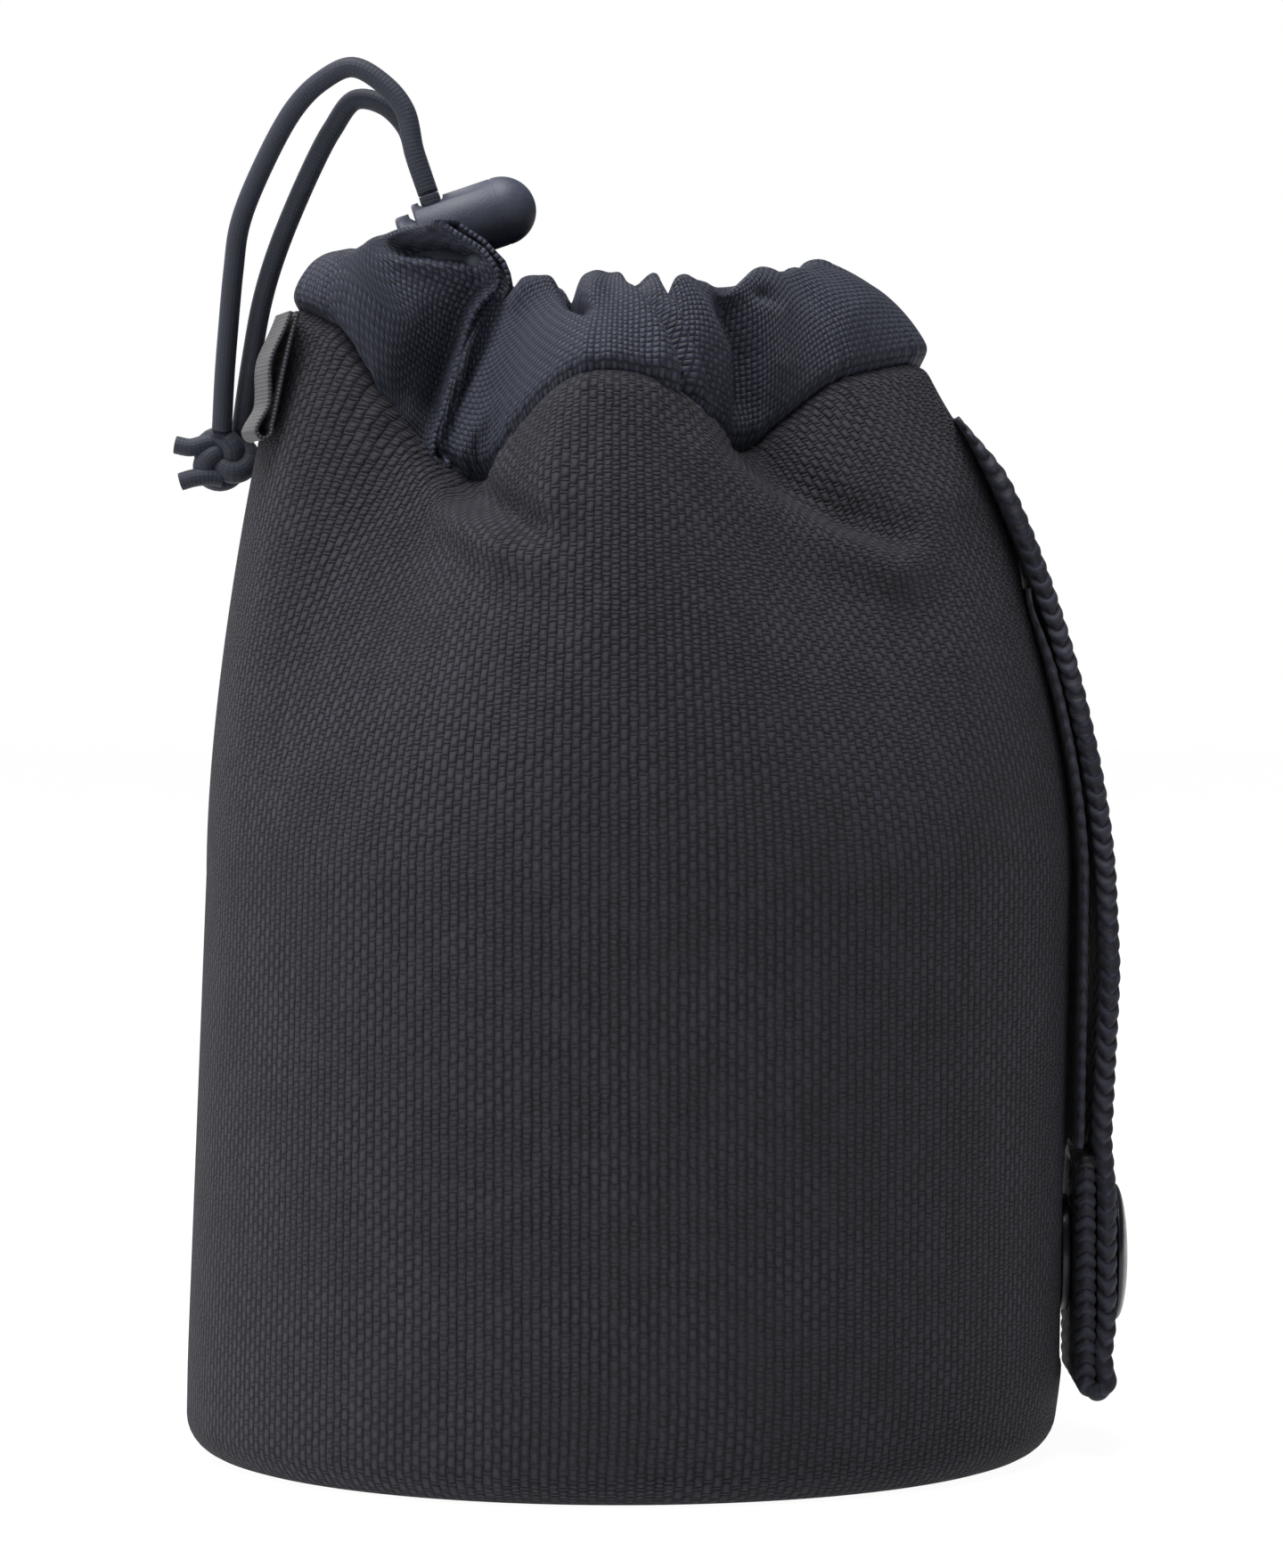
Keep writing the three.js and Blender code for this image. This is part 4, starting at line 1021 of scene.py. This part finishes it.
# Folds of the collar, drawn where the photograph shows them: width in pixels, (column, row, height in mm)
COLLAR_FOLDS = (
    # left lobe: the hollow under the rim, its lip, the deep valley and the ridge beside the left hem
    (9, ((434, 275, 0), (455, 279, -2.2), (490, 282, -3.2), (530, 290, -1.8))),
    (9, ((420, 288, 0), (450, 294, 0.9), (500, 300, 1.2), (545, 304, 1))),
    (15, ((546, 312, -1), (519, 356, -2.8), (500, 404, -3.8), (486, 450, -3.8), (478, 492, -1.6))),
    (26, ((520, 330, -0.5), (500, 360, -1.4), (478, 404, -2.6), (464, 440, -2.4), (458, 470, -0.8))),
    (8, ((556, 318, 0.4), (538, 350, 1), (519, 392, 1.2), (503, 455, 1), (490, 500, 0.4))),
    (30, ((350, 330, 0), (400, 320, 0.8), (440, 400, 0.8), (470, 470, 0))),
    # the valley between the two ends
    (10, ((562, 325, -0.6), (546, 383, -2.2), (517, 445, -2.4), (500, 505, -1.4))),
    (11, ((560, 440, 0), (535, 480, 0.9), (520, 512, 0.6))),
    # front lobe: its two gathers with the notch between them, and its right edge
    (15, ((620, 300, 0.8), (590, 322, 0.9), (572, 345, 0))),
    (8, ((630, 308, -2), (636, 324, -3.2), (643, 338, -2.6), (668, 354, 0))),
    (13, ((678, 300, 0.6), (668, 325, 1.2), (652, 352, 0))),
    (36, ((610, 400, 0), (660, 390, 0.7), (710, 400, 0))),
    (13, ((696, 312, 0.6), (718, 342, 1.2), (738, 385, 1.5), (755, 438, 1.2))),
    (8, ((709, 308, -1), (734, 340, -2.2), (757, 384, -2.6), (774, 436, -2), (800, 480, -0.6))),
    # the two narrow folds of the second pleat and the hollow beside them
    (9, ((728, 302, 0.4), (752, 345, 1.3), (775, 400, 1.4), (800, 465, 0.6))),
    (6, ((748, 312, -1), (766, 355, -1.8), (789, 414, -1.8), (809, 476, -0.6))),
    (10, ((762, 300, 0.4), (786, 345, 1.3), (806, 395, 1.5), (818, 465, 0.6))),
    (15, ((812, 318, -1.4), (824, 350, -3), (834, 400, -3.2), (836, 450, -2.4), (833, 490, -0.8))),
    # right lobe: its front edge, and the soft second fold on its top
    (24, ((842, 306, 0.3), (862, 350, 1.1), (872, 410, 1), (868, 460, 0))),
    (9, ((835, 322, 0), (855, 338, -1.1), (878, 350, 0))),
    (12, ((880, 300, -0.4), (908, 332, -0.6), (936, 372, 0))),
    (30, ((930, 308, 0.3), (960, 350, 0.9), (980, 395, 0))),
)

# Dips and rises of the gathered rim: (column of the photograph, width in pixels, drop in mm)
RIM_DIPS = (
    (575, 14, 0.7), (641, 8, 2.2), (705, 6, 0.6), (748, 6, 1.0), (850, 24, -0.7),
)

# The left end of the collar, from the seam to the rim: (rise, column, row, y in mm). Its beak lies on the
# right end and lets the cord out.
LEFT_END = (
    (0, 496, 528, -17.5), (0.16, 487, 500, -17.8), (0.36, 497, 458, -18), (0.56, 516, 392, -18.2),
    (0.75, 537, 347, -18.4), (0.86, 560, 318, -18.5), (0.94, 551, 290, -18.4), (1, 500, 252, -17.4),
)


def rim_drop(px, y, rise):
    """How far the rim's dips lower each point of the collar."""
    front = smooth(-y, *FRONT_OF_COLLAR) * smooth(rise, 0.55, 1)
    return front * sum(drop * np.exp(-(((px - column) / width) ** 2)) for column, width, drop in RIM_DIPS)


def gathers(angle, rise):
    """The even gathers of the rim, out of the photograph's sight."""
    rng = np.random.default_rng(7)
    turn = np.radians(angle)[:, None]
    waves = [wave(count, turn, rng) * (0.9 - 0.012 * count) for count in (17, 23, 29, 37)]
    return sum(waves) * 0.75 * rise**1.2


def left_end_shift(column, rise):
    """How far the points at each rise move to bring the collar's last column onto its drawn left end."""
    up = np.linspace(0, 1, UP_ROWS)
    share, across, down, y = np.array(LEFT_END).T
    end = from_photo(across, down, y)
    spread = catmull(end, 400)
    nodes = [np.argmin(np.linalg.norm(spread - point, axis=1)) for point in end]
    moved = spread[np.interp(up, share, nodes).astype(int)] - column[:UP_ROWS]
    return resample(moved, up, rise)


def collar_grid():
    """Angles, rises, the outer face and the run of the cloth. The left end is drawn over the right."""
    first, last = COLLAR_FIRST_ANGLE, COLLAR_LAST_ANGLE
    square = np.linspace(first, last, COLLAR_COLUMNS)
    rise = np.concatenate([np.linspace(0, 1, UP_ROWS), np.ones(RIM_ROWS), np.linspace(1, 0, DOWN_ROWS)])
    lean = HEM_LEAN * np.clip((rise - 0.62) / 0.38, 0, 1)
    angle = square[:, None] - smooth(square, last - HEM_SLANT_RUN, last)[:, None] * lean
    grid = np.linspace(first, last, 1500)
    outline = channel_outline(grid)
    p = np.zeros((len(square), len(rise), 3))
    for row in range(len(rise)):
        r, z = (np.interp(angle[:, row], grid, outline[:, row, k]) for k in range(2))
        p[:, row] = around(angle[:, row], r, z)
    near = smooth(square, last - LEFT_END_RUN, last)[:, None, None] ** 1.5
    p = p + near * left_end_shift(p[-1], rise)[None]
    flat = near * np.clip(np.arange(len(rise)) - UP_ROWS + 1, 0, RIM_ROWS)[None, :, None] / RIM_ROWS
    facing = p[:, np.minimum(np.round(rise * (UP_ROWS - 1)).astype(int), UP_ROWS - 1)]
    inward = unit(facing * (-1, -1, 0))
    p = lerp(p, facing + inward * CHANNEL_FLAT * np.clip(flat, 0, 1), np.where(flat > 0, near * 0.9, 0))
    rise = np.broadcast_to(rise[None], p.shape[:2])
    px, py = in_photo(p)
    front = smooth(-p[..., 1], *FRONT_OF_COLLAR)
    drawn = front * drawn_folds(px, py, COLLAR_FOLDS)
    run = run_up(p)
    relief = gathers(square, rise) * (1 - 0.85 * front) + puckers(square, run) + swell(run)
    out = grid_normals(p, False)
    # The left lobe's strokes press along the line of sight. The channel's inner face has its normals the
    # other way, so outside that lobe its strokes are turned round and it moves with the outer face.
    left_lobe = smooth(-px, -575, -550) * smooth(py, 300, 330)
    sight = unit(lerp(out, np.array([0.0, -1.0, 0.0]), left_lobe[..., None]))
    inner = smooth(np.arange(p.shape[1]), UP_ROWS + 4, UP_ROWS + RIM_ROWS) * (1 - left_lobe)
    p = p + out * (relief * (1 - inner * 0.9))[..., None] + sight * (drawn * (1 - 2 * inner))[..., None]
    p = p + tuck(p, run, 1.5, 1.2)
    p[..., 2] -= rim_drop(px, p[..., 1], rise)
    return square, rise, p, run


def add_collar():
    square, rise, p, run = collar_grid()
    normal = grid_normals(p, False)
    high = smooth(rise, 0.5, 0.75)
    hem = smooth(square, COLLAR_LAST_ANGLE - 5, COLLAR_LAST_ANGLE - 4.4)[:, None] * high
    groove = np.exp(-(((square - COLLAR_LAST_ANGLE + 4.2) / 0.5) ** 2))[:, None] * high
    p = p + normal * (0.45 * hem - 0.35 * groove)[..., None]
    spots = flat_pairs((np.radians(square) * COLLAR_CLOTH_RADIUS)[:, None], run)
    back = p - normal * CHANNEL_FABRIC
    collar = add_sheet("collar_cloth", "collar_channel", "collar_fabric", p, back, False, spots)


# Cord lock

TILT = math.radians(LOCK_TILT)
LOCK_X = np.array([math.cos(TILT), 0, math.sin(TILT)])
LOCK_Y = np.array([0, 1, 0])
LOCK_Z = np.array([-math.sin(TILT), 0, math.cos(TILT)])
BARREL_RADIUS = BARREL_DIAMETER / 2
DOME_TIP = (BARREL_LENGTH + BUTTON_REACH) / 2
BARREL_MOUTH = DOME_TIP - BARREL_LENGTH
BORE_END = DOME_TIP - BARREL_FLOOR
CORD_HOLE = BARREL_MOUTH + CORD_HOLE_INSET
CORD_HOLE_HALF = CORD_DIAMETER / 2 + CLEARANCE
PLUNGER_RADIUS = BARREL_RADIUS - BARREL_WALL - CLEARANCE
SLOT_ROUNDING = 1.1


def in_lock(points):
    p = np.asarray(points, float)
    return np.array(LOCK_CENTRE) + p[..., :1] * LOCK_X + p[..., 1:2] * LOCK_Y + p[..., 2:] * LOCK_Z


def braid(run, turn):
    """The lay of the cord's braided sheath."""
    return 0.012 * np.sin(9 * turn + run * 7) * np.sin(9 * turn - run * 7)


def add_strands():
    """The two free strands, from the lock to the knot."""
    start = BELOW_LOCK + CLEARANCE
    strands = (
        ("strand_outer", -CORD_PITCH / 2, OUTER_STRAND, "cord_strand_outer"),
        ("strand_inner", CORD_PITCH / 2, INNER_STRAND, "cord_strand_inner"),
    )
    made = []
    for name, side, hanging, node in strands:
        straight = in_lock([(CORD_HOLE, side, start), (CORD_HOLE, side, start + STRAND_STRAIGHT)])
        path = catmull([*straight, *hanging], 360)
        strand = new_piece(name, node, "cord_sheath", *tube_mesh(path, CORD_DIAMETER / 2, 24, braid))
        made.append((strand, path))
    return made


def add_drawcord():
    heights = [-BELOW_LOCK - CORD_DIAMETER, -BELOW_LOCK, 0, BELOW_LOCK]
    sides = (-CORD_PITCH / 2, CORD_PITCH / 2)
    right, left = (in_lock([(CORD_HOLE, side, z) for z in heights]) for side in sides)
    angle = np.linspace(MOUTH[0][0], MOUTH[-1][0], 45)
    mouth = around(angle, *along(MOUTH, angle))
    px, py = in_photo(mouth)
    sunk = np.maximum(-drawn_folds(px, py, COLLAR_FOLDS), 0) * smooth(-mouth[:, 1], *FRONT_OF_COLLAR)
    late = smooth(angle, 284, 294)
    mouth[:, 2] -= rim_drop(px, mouth[:, 1], 1) + 0.8 * sunk * (1 - late) + 1.6 * late
    mouth = mouth + unit(mouth * (-1, -1, 0)) * (sunk + late)[:, None]
    path = catmull([*right[::-1], *FROM_RIGHT_END, *mouth, *FROM_LEFT_END, *left], 900)
    new_piece("cord_in_channel", "drawcord", "cord_sheath", *tube_mesh(path, CORD_DIAMETER / 2, 20, braid))


def add_knot():
    """An overhand knot tied in both strands, with two cut ends."""
    t = np.linspace(0, 2 * np.pi, 260, endpoint=False)
    out = 2 + np.cos(3 * t)
    loop = [out * np.cos(2 * t), 0.9 * np.sin(3 * t), out * np.sin(2 * t) * 0.88]
    loop = KNOT_SIZE * np.stack(loop, axis=1)
    path = np.vstack([loop, loop[:1]]) + KNOT_CENTRE
    tails = [tube_mesh(catmull(tail, 40), CORD_DIAMETER / 2 - TAIL_SLIMMER, 20, braid) for tail in KNOT_TAILS]
    parts = [tube_mesh(path, CORD_DIAMETER / 2 + KNOT_SWELL, 24, braid), *tails]
    return new_piece("knot", "cord_knot", "cord_sheath", *join_parts(parts))


def join_parts(parts):
    """One mesh from several of (points, faces, places on the cloth)."""
    faces, start = [], 0
    for verts, own_faces, _ in parts:
        faces.extend([[i + start for i in face] for face in own_faces])
        start += len(verts)
    return np.concatenate([part[0] for part in parts]), faces, np.concatenate([part[2] for part in parts])


def cut_box(piece, centre, size):
    """Cuts a rounded slot for the cords through a piece of the lock."""
    corners = np.array([(x, y, z) for x in (-1, 1) for y in (-1, 1) for z in (-1, 1)]) * np.array(size) / 2
    faces = [(0, 1, 3, 2), (4, 6, 7, 5), (0, 4, 5, 1), (2, 3, 7, 6), (0, 2, 6, 4), (1, 5, 7, 3)]
    tool = new_object("slot", new_mesh("slot", in_lock(corners + np.array(centre)) * MM, faces))
    bevel = tool.modifiers.new("bevel", "BEVEL")
    bevel.width = SLOT_ROUNDING * MM
    bevel.segments = 6
    bevel.limit_method = "NONE"
    cutter = piece.modifiers.new("cut", "BOOLEAN")
    cutter.operation = "DIFFERENCE"
    cutter.object = tool
    cutter.solver = "EXACT"
    made = bpy.data.meshes.new_from_object(piece.evaluated_get(bpy.context.evaluated_depsgraph_get()))
    piece.modifiers.clear()
    piece.data = made
    bpy.data.objects.remove(tool)


def barrel_profile(bore):
    """(radius, x) of the barrel: its blind bore, its mouth, the seam round its body and its dome."""
    radius = BARREL_RADIUS
    turn = np.linspace(0, np.pi / 2, 18)
    dome = [(radius * math.cos(a), DOME_TIP - radius + radius * math.sin(a)) for a in turn]
    seam = DOME_TIP - radius - 0.4
    wall = [(0.2, BORE_END), (bore, BORE_END), (bore, BARREL_MOUTH), (radius, BARREL_MOUTH), (radius, seam)]
    groove = [(radius - 0.07, seam + 0.12), (radius, seam + 0.26)]
    return [(0, BORE_END), *rounded(wall, 0.3), *groove, *dome[:-1], (0, DOME_TIP)]


def add_lock():
    bore = BARREL_RADIUS - BARREL_WALL
    profile = barrel_profile(bore)
    shell = add_turned("lock_barrel", "cord_lock_barrel", "lock_plastic", profile, "cord_lock", in_lock)
    across = CORD_PITCH + CORD_DIAMETER + CLEARANCE
    cut_box(shell, (CORD_HOLE, 0, 0), (2 * CORD_HOLE_HALF, across, 2 * BARREL_DIAMETER))
    end = -DOME_TIP + PLUNGER_LENGTH
    profile = rounded([(0, -DOME_TIP), (PLUNGER_RADIUS, -DOME_TIP), (PLUNGER_RADIUS, end), (0, end)], 0.45)
    plunger = add_turned("lock_plunger", "cord_lock_plunger", "lock_plastic", profile, "plunger", in_lock)
    middle = CORD_HOLE - PLUNGER_TRAVEL / 2
    cut_box(plunger, (middle, 0, 0), (2 * CORD_HOLE_HALF + PLUNGER_TRAVEL, across, 2 * BARREL_DIAMETER))
    first = end + CLEARANCE + SPRING_WIRE / 2
    last = BORE_END - CLEARANCE - SPRING_WIRE / 2
    coil = bore - CLEARANCE - SPRING_WIRE
    share = np.linspace(0, 1, SPRING_STEPS * SPRING_TURNS + 1)
    turn = 2 * np.pi * SPRING_TURNS * share
    helix = np.stack([lerp(first, last, share), coil * np.cos(turn), coil * np.sin(turn)], axis=1)
    verts, faces = tube_mesh(in_lock(helix), SPRING_WIRE / 2, 10)[:2]
    spring = new_piece("lock_spring", "cord_lock_spring", "spring_steel", verts, faces, body=None)
    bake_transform(spring)


# Belt strap


def strap_line():
    """The strap's centre line in X and Z, from its sewn top down, round its fold and up to its cut end."""
    half = STRAP_THICKNESS / 2
    z = np.linspace(STRAP_TOP, SNAP_HEIGHT, 260)
    down = np.stack([strap_face(z) - half, z], axis=1)
    radius = (CLEARANCE + STRAP_THICKNESS) / 2
    middle = np.array([SNAP_FACE - half - radius, STRAP_BOTTOM + half + radius])
    straight = np.array([(SNAP_FACE - half, SNAP_HEIGHT - 4), (SNAP_FACE - half, middle[1] + 2)])
    turn = np.linspace(0, -np.pi, 24)
    fold = middle + radius * np.stack([np.cos(turn), np.sin(turn)], axis=1)
    end = np.array([(INNER_PLY + half, middle[1] + 2), (INNER_PLY + half, STRAP_BOTTOM + STRAP_RETURN)])
    rough = np.concatenate([down, straight, fold, end])
    run = run_along(rough)
    keep = np.concatenate([[True], np.diff(run) > 1e-6])
    even = np.arange(0, run[-1], STRAP_STEP)
    return resample(rough[keep], run[keep], even), even


# The chain of loops along the webbing's edges: the length of a loop in mm on each ply, and its depth
LOOP_PITCH = 1.85
RETURN_LOOP_PITCH = 1.35
LOOP_DEPTH = 0.4
MELTED_LENGTH = 1.5

# How the worn strap stands off its straight line: (height, move out in mm)
STRAP_WEAR = (
    (0, 0), (8.5, 0), (11, -0.5), (14, -0.1), (15, 0), (29, 0), (35, -0.5), (43, -0.1), (54, 0.5), (66, 0.2),
    (80, 0), (125, 0),
)
STRAP_SEWN_LENGTH = 9
STRAP_SEWN_THINNESS = 0.3
WEBBING_TIP = 6
STRAP_STEP = 0.15
WEBBING_STEP = 0.2
WEBBING_RELIEF = 0.1


def webbing_section(width, thickness, per_side=30, edge=14):
    """Points round a flat woven strip: place across and place through."""
    half, r = width / 2, thickness / 2
    y = np.linspace(-half + r, half - r, per_side)
    turn = np.linspace(-np.pi / 2, np.pi / 2, edge)
    right = np.stack([half - r + r * np.cos(turn), r * np.sin(turn)], axis=1)
    left = -right
    bottom = np.stack([y, np.full(per_side, -r)], axis=1)
    top = -bottom
    return np.concatenate([bottom[:-1], right[:-1], top[:-1], left[:-1]])


def add_webbing(name, node, line, run, thickness, thin, loops, relief, body):
    """A woven strip along a line in X and Z. thin is its share of the thickness at each point of the line,
    and loops counts the loops of its edge up to there."""
    edge = STRAP_WIDTH / 2 - thickness / 2
    y, through = webbing_section(STRAP_WIDTH, thickness).T
    ahead = unit(np.gradient(line, axis=0))
    out = np.stack([-ahead[:, 1], ahead[:, 0]], axis=1)
    normal = unit(np.stack([np.where(np.abs(y) > edge, y - np.sign(y) * edge, 0), through], axis=1))
    near_edge = smooth(np.abs(y), STRAP_WIDTH / 2 - thickness, edge)
    hook = (through / (thickness / 2)) ** 2
    phase = loops[:, None] + 0.5 * hook * near_edge + 0.18 * np.abs(y) * (1 - near_edge)
    bumps = np.abs(np.sin(np.pi * phase)) ** 0.55
    lift = relief * (bumps - 1) * lerp(0.6, 1, near_edge)
    p_y = y + normal[:, 0] * lift
    p_t = (through + normal[:, 1] * lift) * thin[:, None]
    p_x, p_z = (line[:, None, k] + out[:, None, k] * p_t for k in range(2))
    p = np.stack([p_x, p_y, p_z], axis=-1)
    grid = p.transpose(1, 0, 2)
    sides, rows = grid.shape[:2]
    faces = grid_faces(sides, rows, True).tolist()
    for row, turned in ((0, True), (rows - 1, False)):
        ring = (np.arange(sides) * rows + row).tolist()
        faces.append(ring[::-1] if turned else ring)
    spots = flat_pairs(y[:, None], run[None, :])
    mend(new_piece(name, node, "webbing", grid.reshape(-1, 3), faces, spots, body))


def add_straps():
    line, run = strap_line()
    down = np.arange(len(line)) < int(np.argmin(line[:, 1]))
    line[:, 0] += np.where(down, np.interp(line[:, 1], *np.array(STRAP_WEAR).T), 0)
    thin = lerp(STRAP_SEWN_THINNESS, 1, smooth(run, 0, STRAP_SEWN_LENGTH))
    line[:, 0] -= (1 - thin) * STRAP_THICKNESS / 2
    loops = np.cumsum(np.gradient(run) / np.where(down, LOOP_PITCH, RETURN_LOOP_PITCH))
    thick = STRAP_THICKNESS + 0.2
    add_webbing("belt_webbing", "belt_strap", line, run, thick, thin, loops, LOOP_DEPTH, "strap")
    z = np.arange(WEBBING_BOTTOM_HEIGHT, WEBBING_TOP_HEIGHT + WEBBING_TIP, WEBBING_STEP)
    thin = 1 - 0.7 * smooth(z, WEBBING_TOP_HEIGHT - 4, WEBBING_TOP_HEIGHT + WEBBING_TIP)
    side = np.interp(z, SIDE_Z, SIDE_R)
    x = soft_min(side, flat_at(z), FLAT_ROUNDING) + WEBBING_GAP + thin * WEBBING_THICKNESS / 2
    line = np.stack([x, z], axis=1)
    thick, loops = WEBBING_THICKNESS, z / LOOP_PITCH
    add_webbing("wall_webbing", "base_webbing", line, z - z[0], thick, thin, loops, WEBBING_RELIEF, "pouch")


# Press stud


def add_snap():
    """Cap and socket on the strap, stud and eyelet on the wall, each turned from its (radius, x) profile."""
    shank = SHANK_DIAMETER / 2
    hole = shank + CLEARANCE
    cap = CAP_DIAMETER / 2
    cap_base = SNAP_FACE + CLEARANCE
    socket_back = SOCKET_FACE + SOCKET_THICKNESS - SOCKET_BACK
    socket_face = SOCKET_FACE + SOCKET_THICKNESS
    edge = STUD_DIAMETER / 2
    nub = NUB_DIAMETER / 2
    grip = nub + CLEARANCE
    plate = STUD_BASE + STUD_PLATE
    tip = plate + NUB_HEIGHT
    inner = tip - CLEARANCE
    rivet = tip - 2 * CLEARANCE
    rim = EYELET_DIAMETER / 2
    rim_base = SNAP_WALL - SHELL_THICKNESS - CLEARANCE - EYELET_PLATE
    rim_top = rim_base + EYELET_PLATE
    turn = np.linspace(0, np.pi / 2, 16)
    dome = [(cap * math.cos(a), cap_base + 0.5 + (CAP_RISE - 0.5) * math.sin(a)) for a in turn]
    cap_foot = [(0, socket_back), (shank, socket_back), (shank, cap_base), (cap - 0.5, cap_base)]
    cap_foot = rounded([*cap_foot, (cap, cap_base + 0.3), dome[0]], 0.25)
    socket = [(hole, socket_back), (grip, socket_back), (grip, SOCKET_FACE), (edge, SOCKET_FACE)]
    socket += [(edge, socket_face), (hole, socket_face), (hole, socket_back)]
    stud = [(0, inner), (hole, inner), (hole, STUD_BASE), (edge, STUD_BASE), (edge, plate)]
    stud += [(nub + 1.2, plate), (nub + 0.9, plate - 0.25), (nub - 0.1, plate - 0.1), (nub, tip), (0, tip)]
    eyelet = [(0, rim_base), (rim, rim_base), (rim, rim_top), (shank, rim_top), (shank, rivet), (0, rivet)]
    pieces = (
        ("snap_dome", "snap_cap", [*cap_foot, *dome[1:-1], (0, cap_base + CAP_RISE)], "strap"),
        ("snap_ring", "snap_socket", rounded(socket, 0.18), "strap"),
        ("snap_post", "snap_stud", rounded(stud, 0.16), "pouch"),
        ("snap_rivet", "snap_eyelet", rounded(eyelet, 0.12), "pouch"),
    )
    for name, node, profile, body in pieces:
        add_turned(name, node, "snap_metal", profile, body, lambda verts: verts + (0, 0, SNAP_HEIGHT))


# Side label


def add_label():
    sides = LABEL_ANGLE + np.array([-8.0, 0.0, 8.0])
    r, z = natural_outline(sides, SIDE_HEIGHTS, 120)
    cosine = np.cos(np.radians(sides - LABEL_ANGLE))

    def wall(height):
        return max(np.interp(height, z[k], r[k]) * cosine[k] for k in range(3))

    seam = float(along(SEAM, LABEL_ANGLE)[1])
    top, bottom = seam - CLEARANCE, seam - LABEL_DROP + LABEL_BULGE
    inner = CLEARANCE + LABEL_THICKNESS / 2
    outer = inner + LABEL_THICKNESS + CLEARANCE
    heights = np.linspace(top, bottom, 40)
    reach = (outer - inner + LABEL_BULGE) / 2
    middle = wall(bottom) + inner + reach
    turn = np.linspace(0, -np.pi, 20)
    fall = top - heights
    belly = 0.9 * np.exp(-(((fall - 5.5) / 3.2) ** 2))
    puff = LABEL_BULGE * (belly + 0.9 * smooth(fall, LABEL_DROP - 4, LABEL_DROP - 1))
    down = np.array([(wall(h) + outer + more, h) for h, more in zip(heights, puff)])
    fold = np.stack([middle + reach * np.cos(turn), bottom - 0.3 + LABEL_BULGE * np.sin(turn)], axis=1)
    up = np.array([(wall(h) + inner, h) for h in heights[::-1]])
    line = np.concatenate([down, fold, up])
    run = run_along(line)
    even = np.linspace(0, run[-1], 140)
    line = resample(line, run, even)
    ahead = unit(np.gradient(line, axis=0))
    out = np.stack([-ahead[:, 1], ahead[:, 0]], axis=1) * LABEL_THICKNESS / 2
    across = np.linspace(-LABEL_WIDTH / 2, LABEL_WIDTH / 2, 25)
    angle = math.radians(LABEL_ANGLE)
    radial = np.array([math.sin(angle), -math.cos(angle), 0])
    tangent = np.array([math.cos(angle), math.sin(angle), 0])

    def layer(points):
        curl = 0.012 * (across**2)[:, None] * smooth(points[:, 1], top, bottom)[None]
        flat = (points[None, :, 0] - curl)[..., None] * radial + across[:, None, None] * tangent
        flat[..., 2] = points[None, :, 1]
        return flat

    spots = flat_pairs(across[:, None], even[None, :])
    faces = layer(line + out), layer(line - out)
    label = add_sheet("label_ribbon", "side_label", "label_ribbon", *faces, False, spots, "label")
    mend(label)


# Studio

# The floor's half side and the height that the lamps look at are in metres. ROOM_LIGHT is the room's
# strength on the left and on the right.
FLOOR_SIDE = 3
FLOOR_GLOW = 1.12
GLOW_SHARE = 0.86
ROOM_LIGHT = (0.42, 0.03)
LIT_HEIGHT = 0.07


def add_stage():
    n = Nodes("floor_pale")
    tone = n.mix(n.grain(30, 3), (0.86, 0.86, 0.86, 1), (0.9, 0.9, 0.9, 1))
    diffuse = n.make("ShaderNodeBsdfDiffuse", {"Color": tone})
    glow = n.make("ShaderNodeEmission", {"Strength": FLOOR_GLOW})
    rays = n.make("ShaderNodeLightPath", {}, "Is Camera Ray")
    seen = rays.at_least(rays.beside("Is Glossy Ray")).at_least(rays.beside("Is Transmission Ray"))
    material = n.close("ShaderNodeMixShader", {0: seen * GLOW_SHARE, 1: diffuse, 2: glow})
    corners = [(-1, -1, 0), (1, -1, 0), (1, 1, 0), (-1, 1, 0)]
    mesh = new_mesh("floor", FLOOR_SIDE * np.array(corners), [(0, 1, 2, 3)])
    mesh.materials.append(material)
    new_object("floor", mesh)


def add_world():
    n = Nodes("studio", world=True)
    rays = n.make("ShaderNodeLightPath", {}, "Is Camera Ray")
    seen = rays.at_least(rays.beside("Is Transmission Ray"))
    across = n.make("ShaderNodeSeparateXYZ", {0: n.make("ShaderNodeTexCoord", {}, "Generated")})
    room = n.ramp(across, -1, 1, *ROOM_LIGHT)
    strength = n.make("ShaderNodeMix", {0: seen, 2: room, 3: 1})
    SCENE.world = n.close("ShaderNodeBackground", {"Color": (1, 1, 1, 1), "Strength": strength})


def add_lights():
    """Soft boxes: (name, place, size, power)."""
    lights = (
        ("above", (-0.15, -0.15, 0.9), 0.6, 10.1),
        ("left", (-0.8, -0.2, 0.3), 0.4, 1.0),
        ("behind", (-0.4, 0.7, 0.5), 0.5, 1.5),
    )
    for name, place, size, power in lights:
        data = bpy.data.lights.new(name, "AREA")
        data.shape = "DISK"
        data.size = size
        data.energy = power
        lamp = new_object(name, data)
        lamp.location = place
        lamp.rotation_euler = (Vector((0, 0, LIT_HEIGHT)) - lamp.location).to_track_quat("-Z", "Y").to_euler()


def main():
    make_camera()
    strands = add_strands()
    add_knot()
    for add in (add_drawcord, add_base, add_body, add_collar, add_lock, add_straps, add_snap, add_label):
        add()
    add_stage()
    add_world()
    add_lights()
    SCENE.view_settings.view_transform = "Standard"


main()
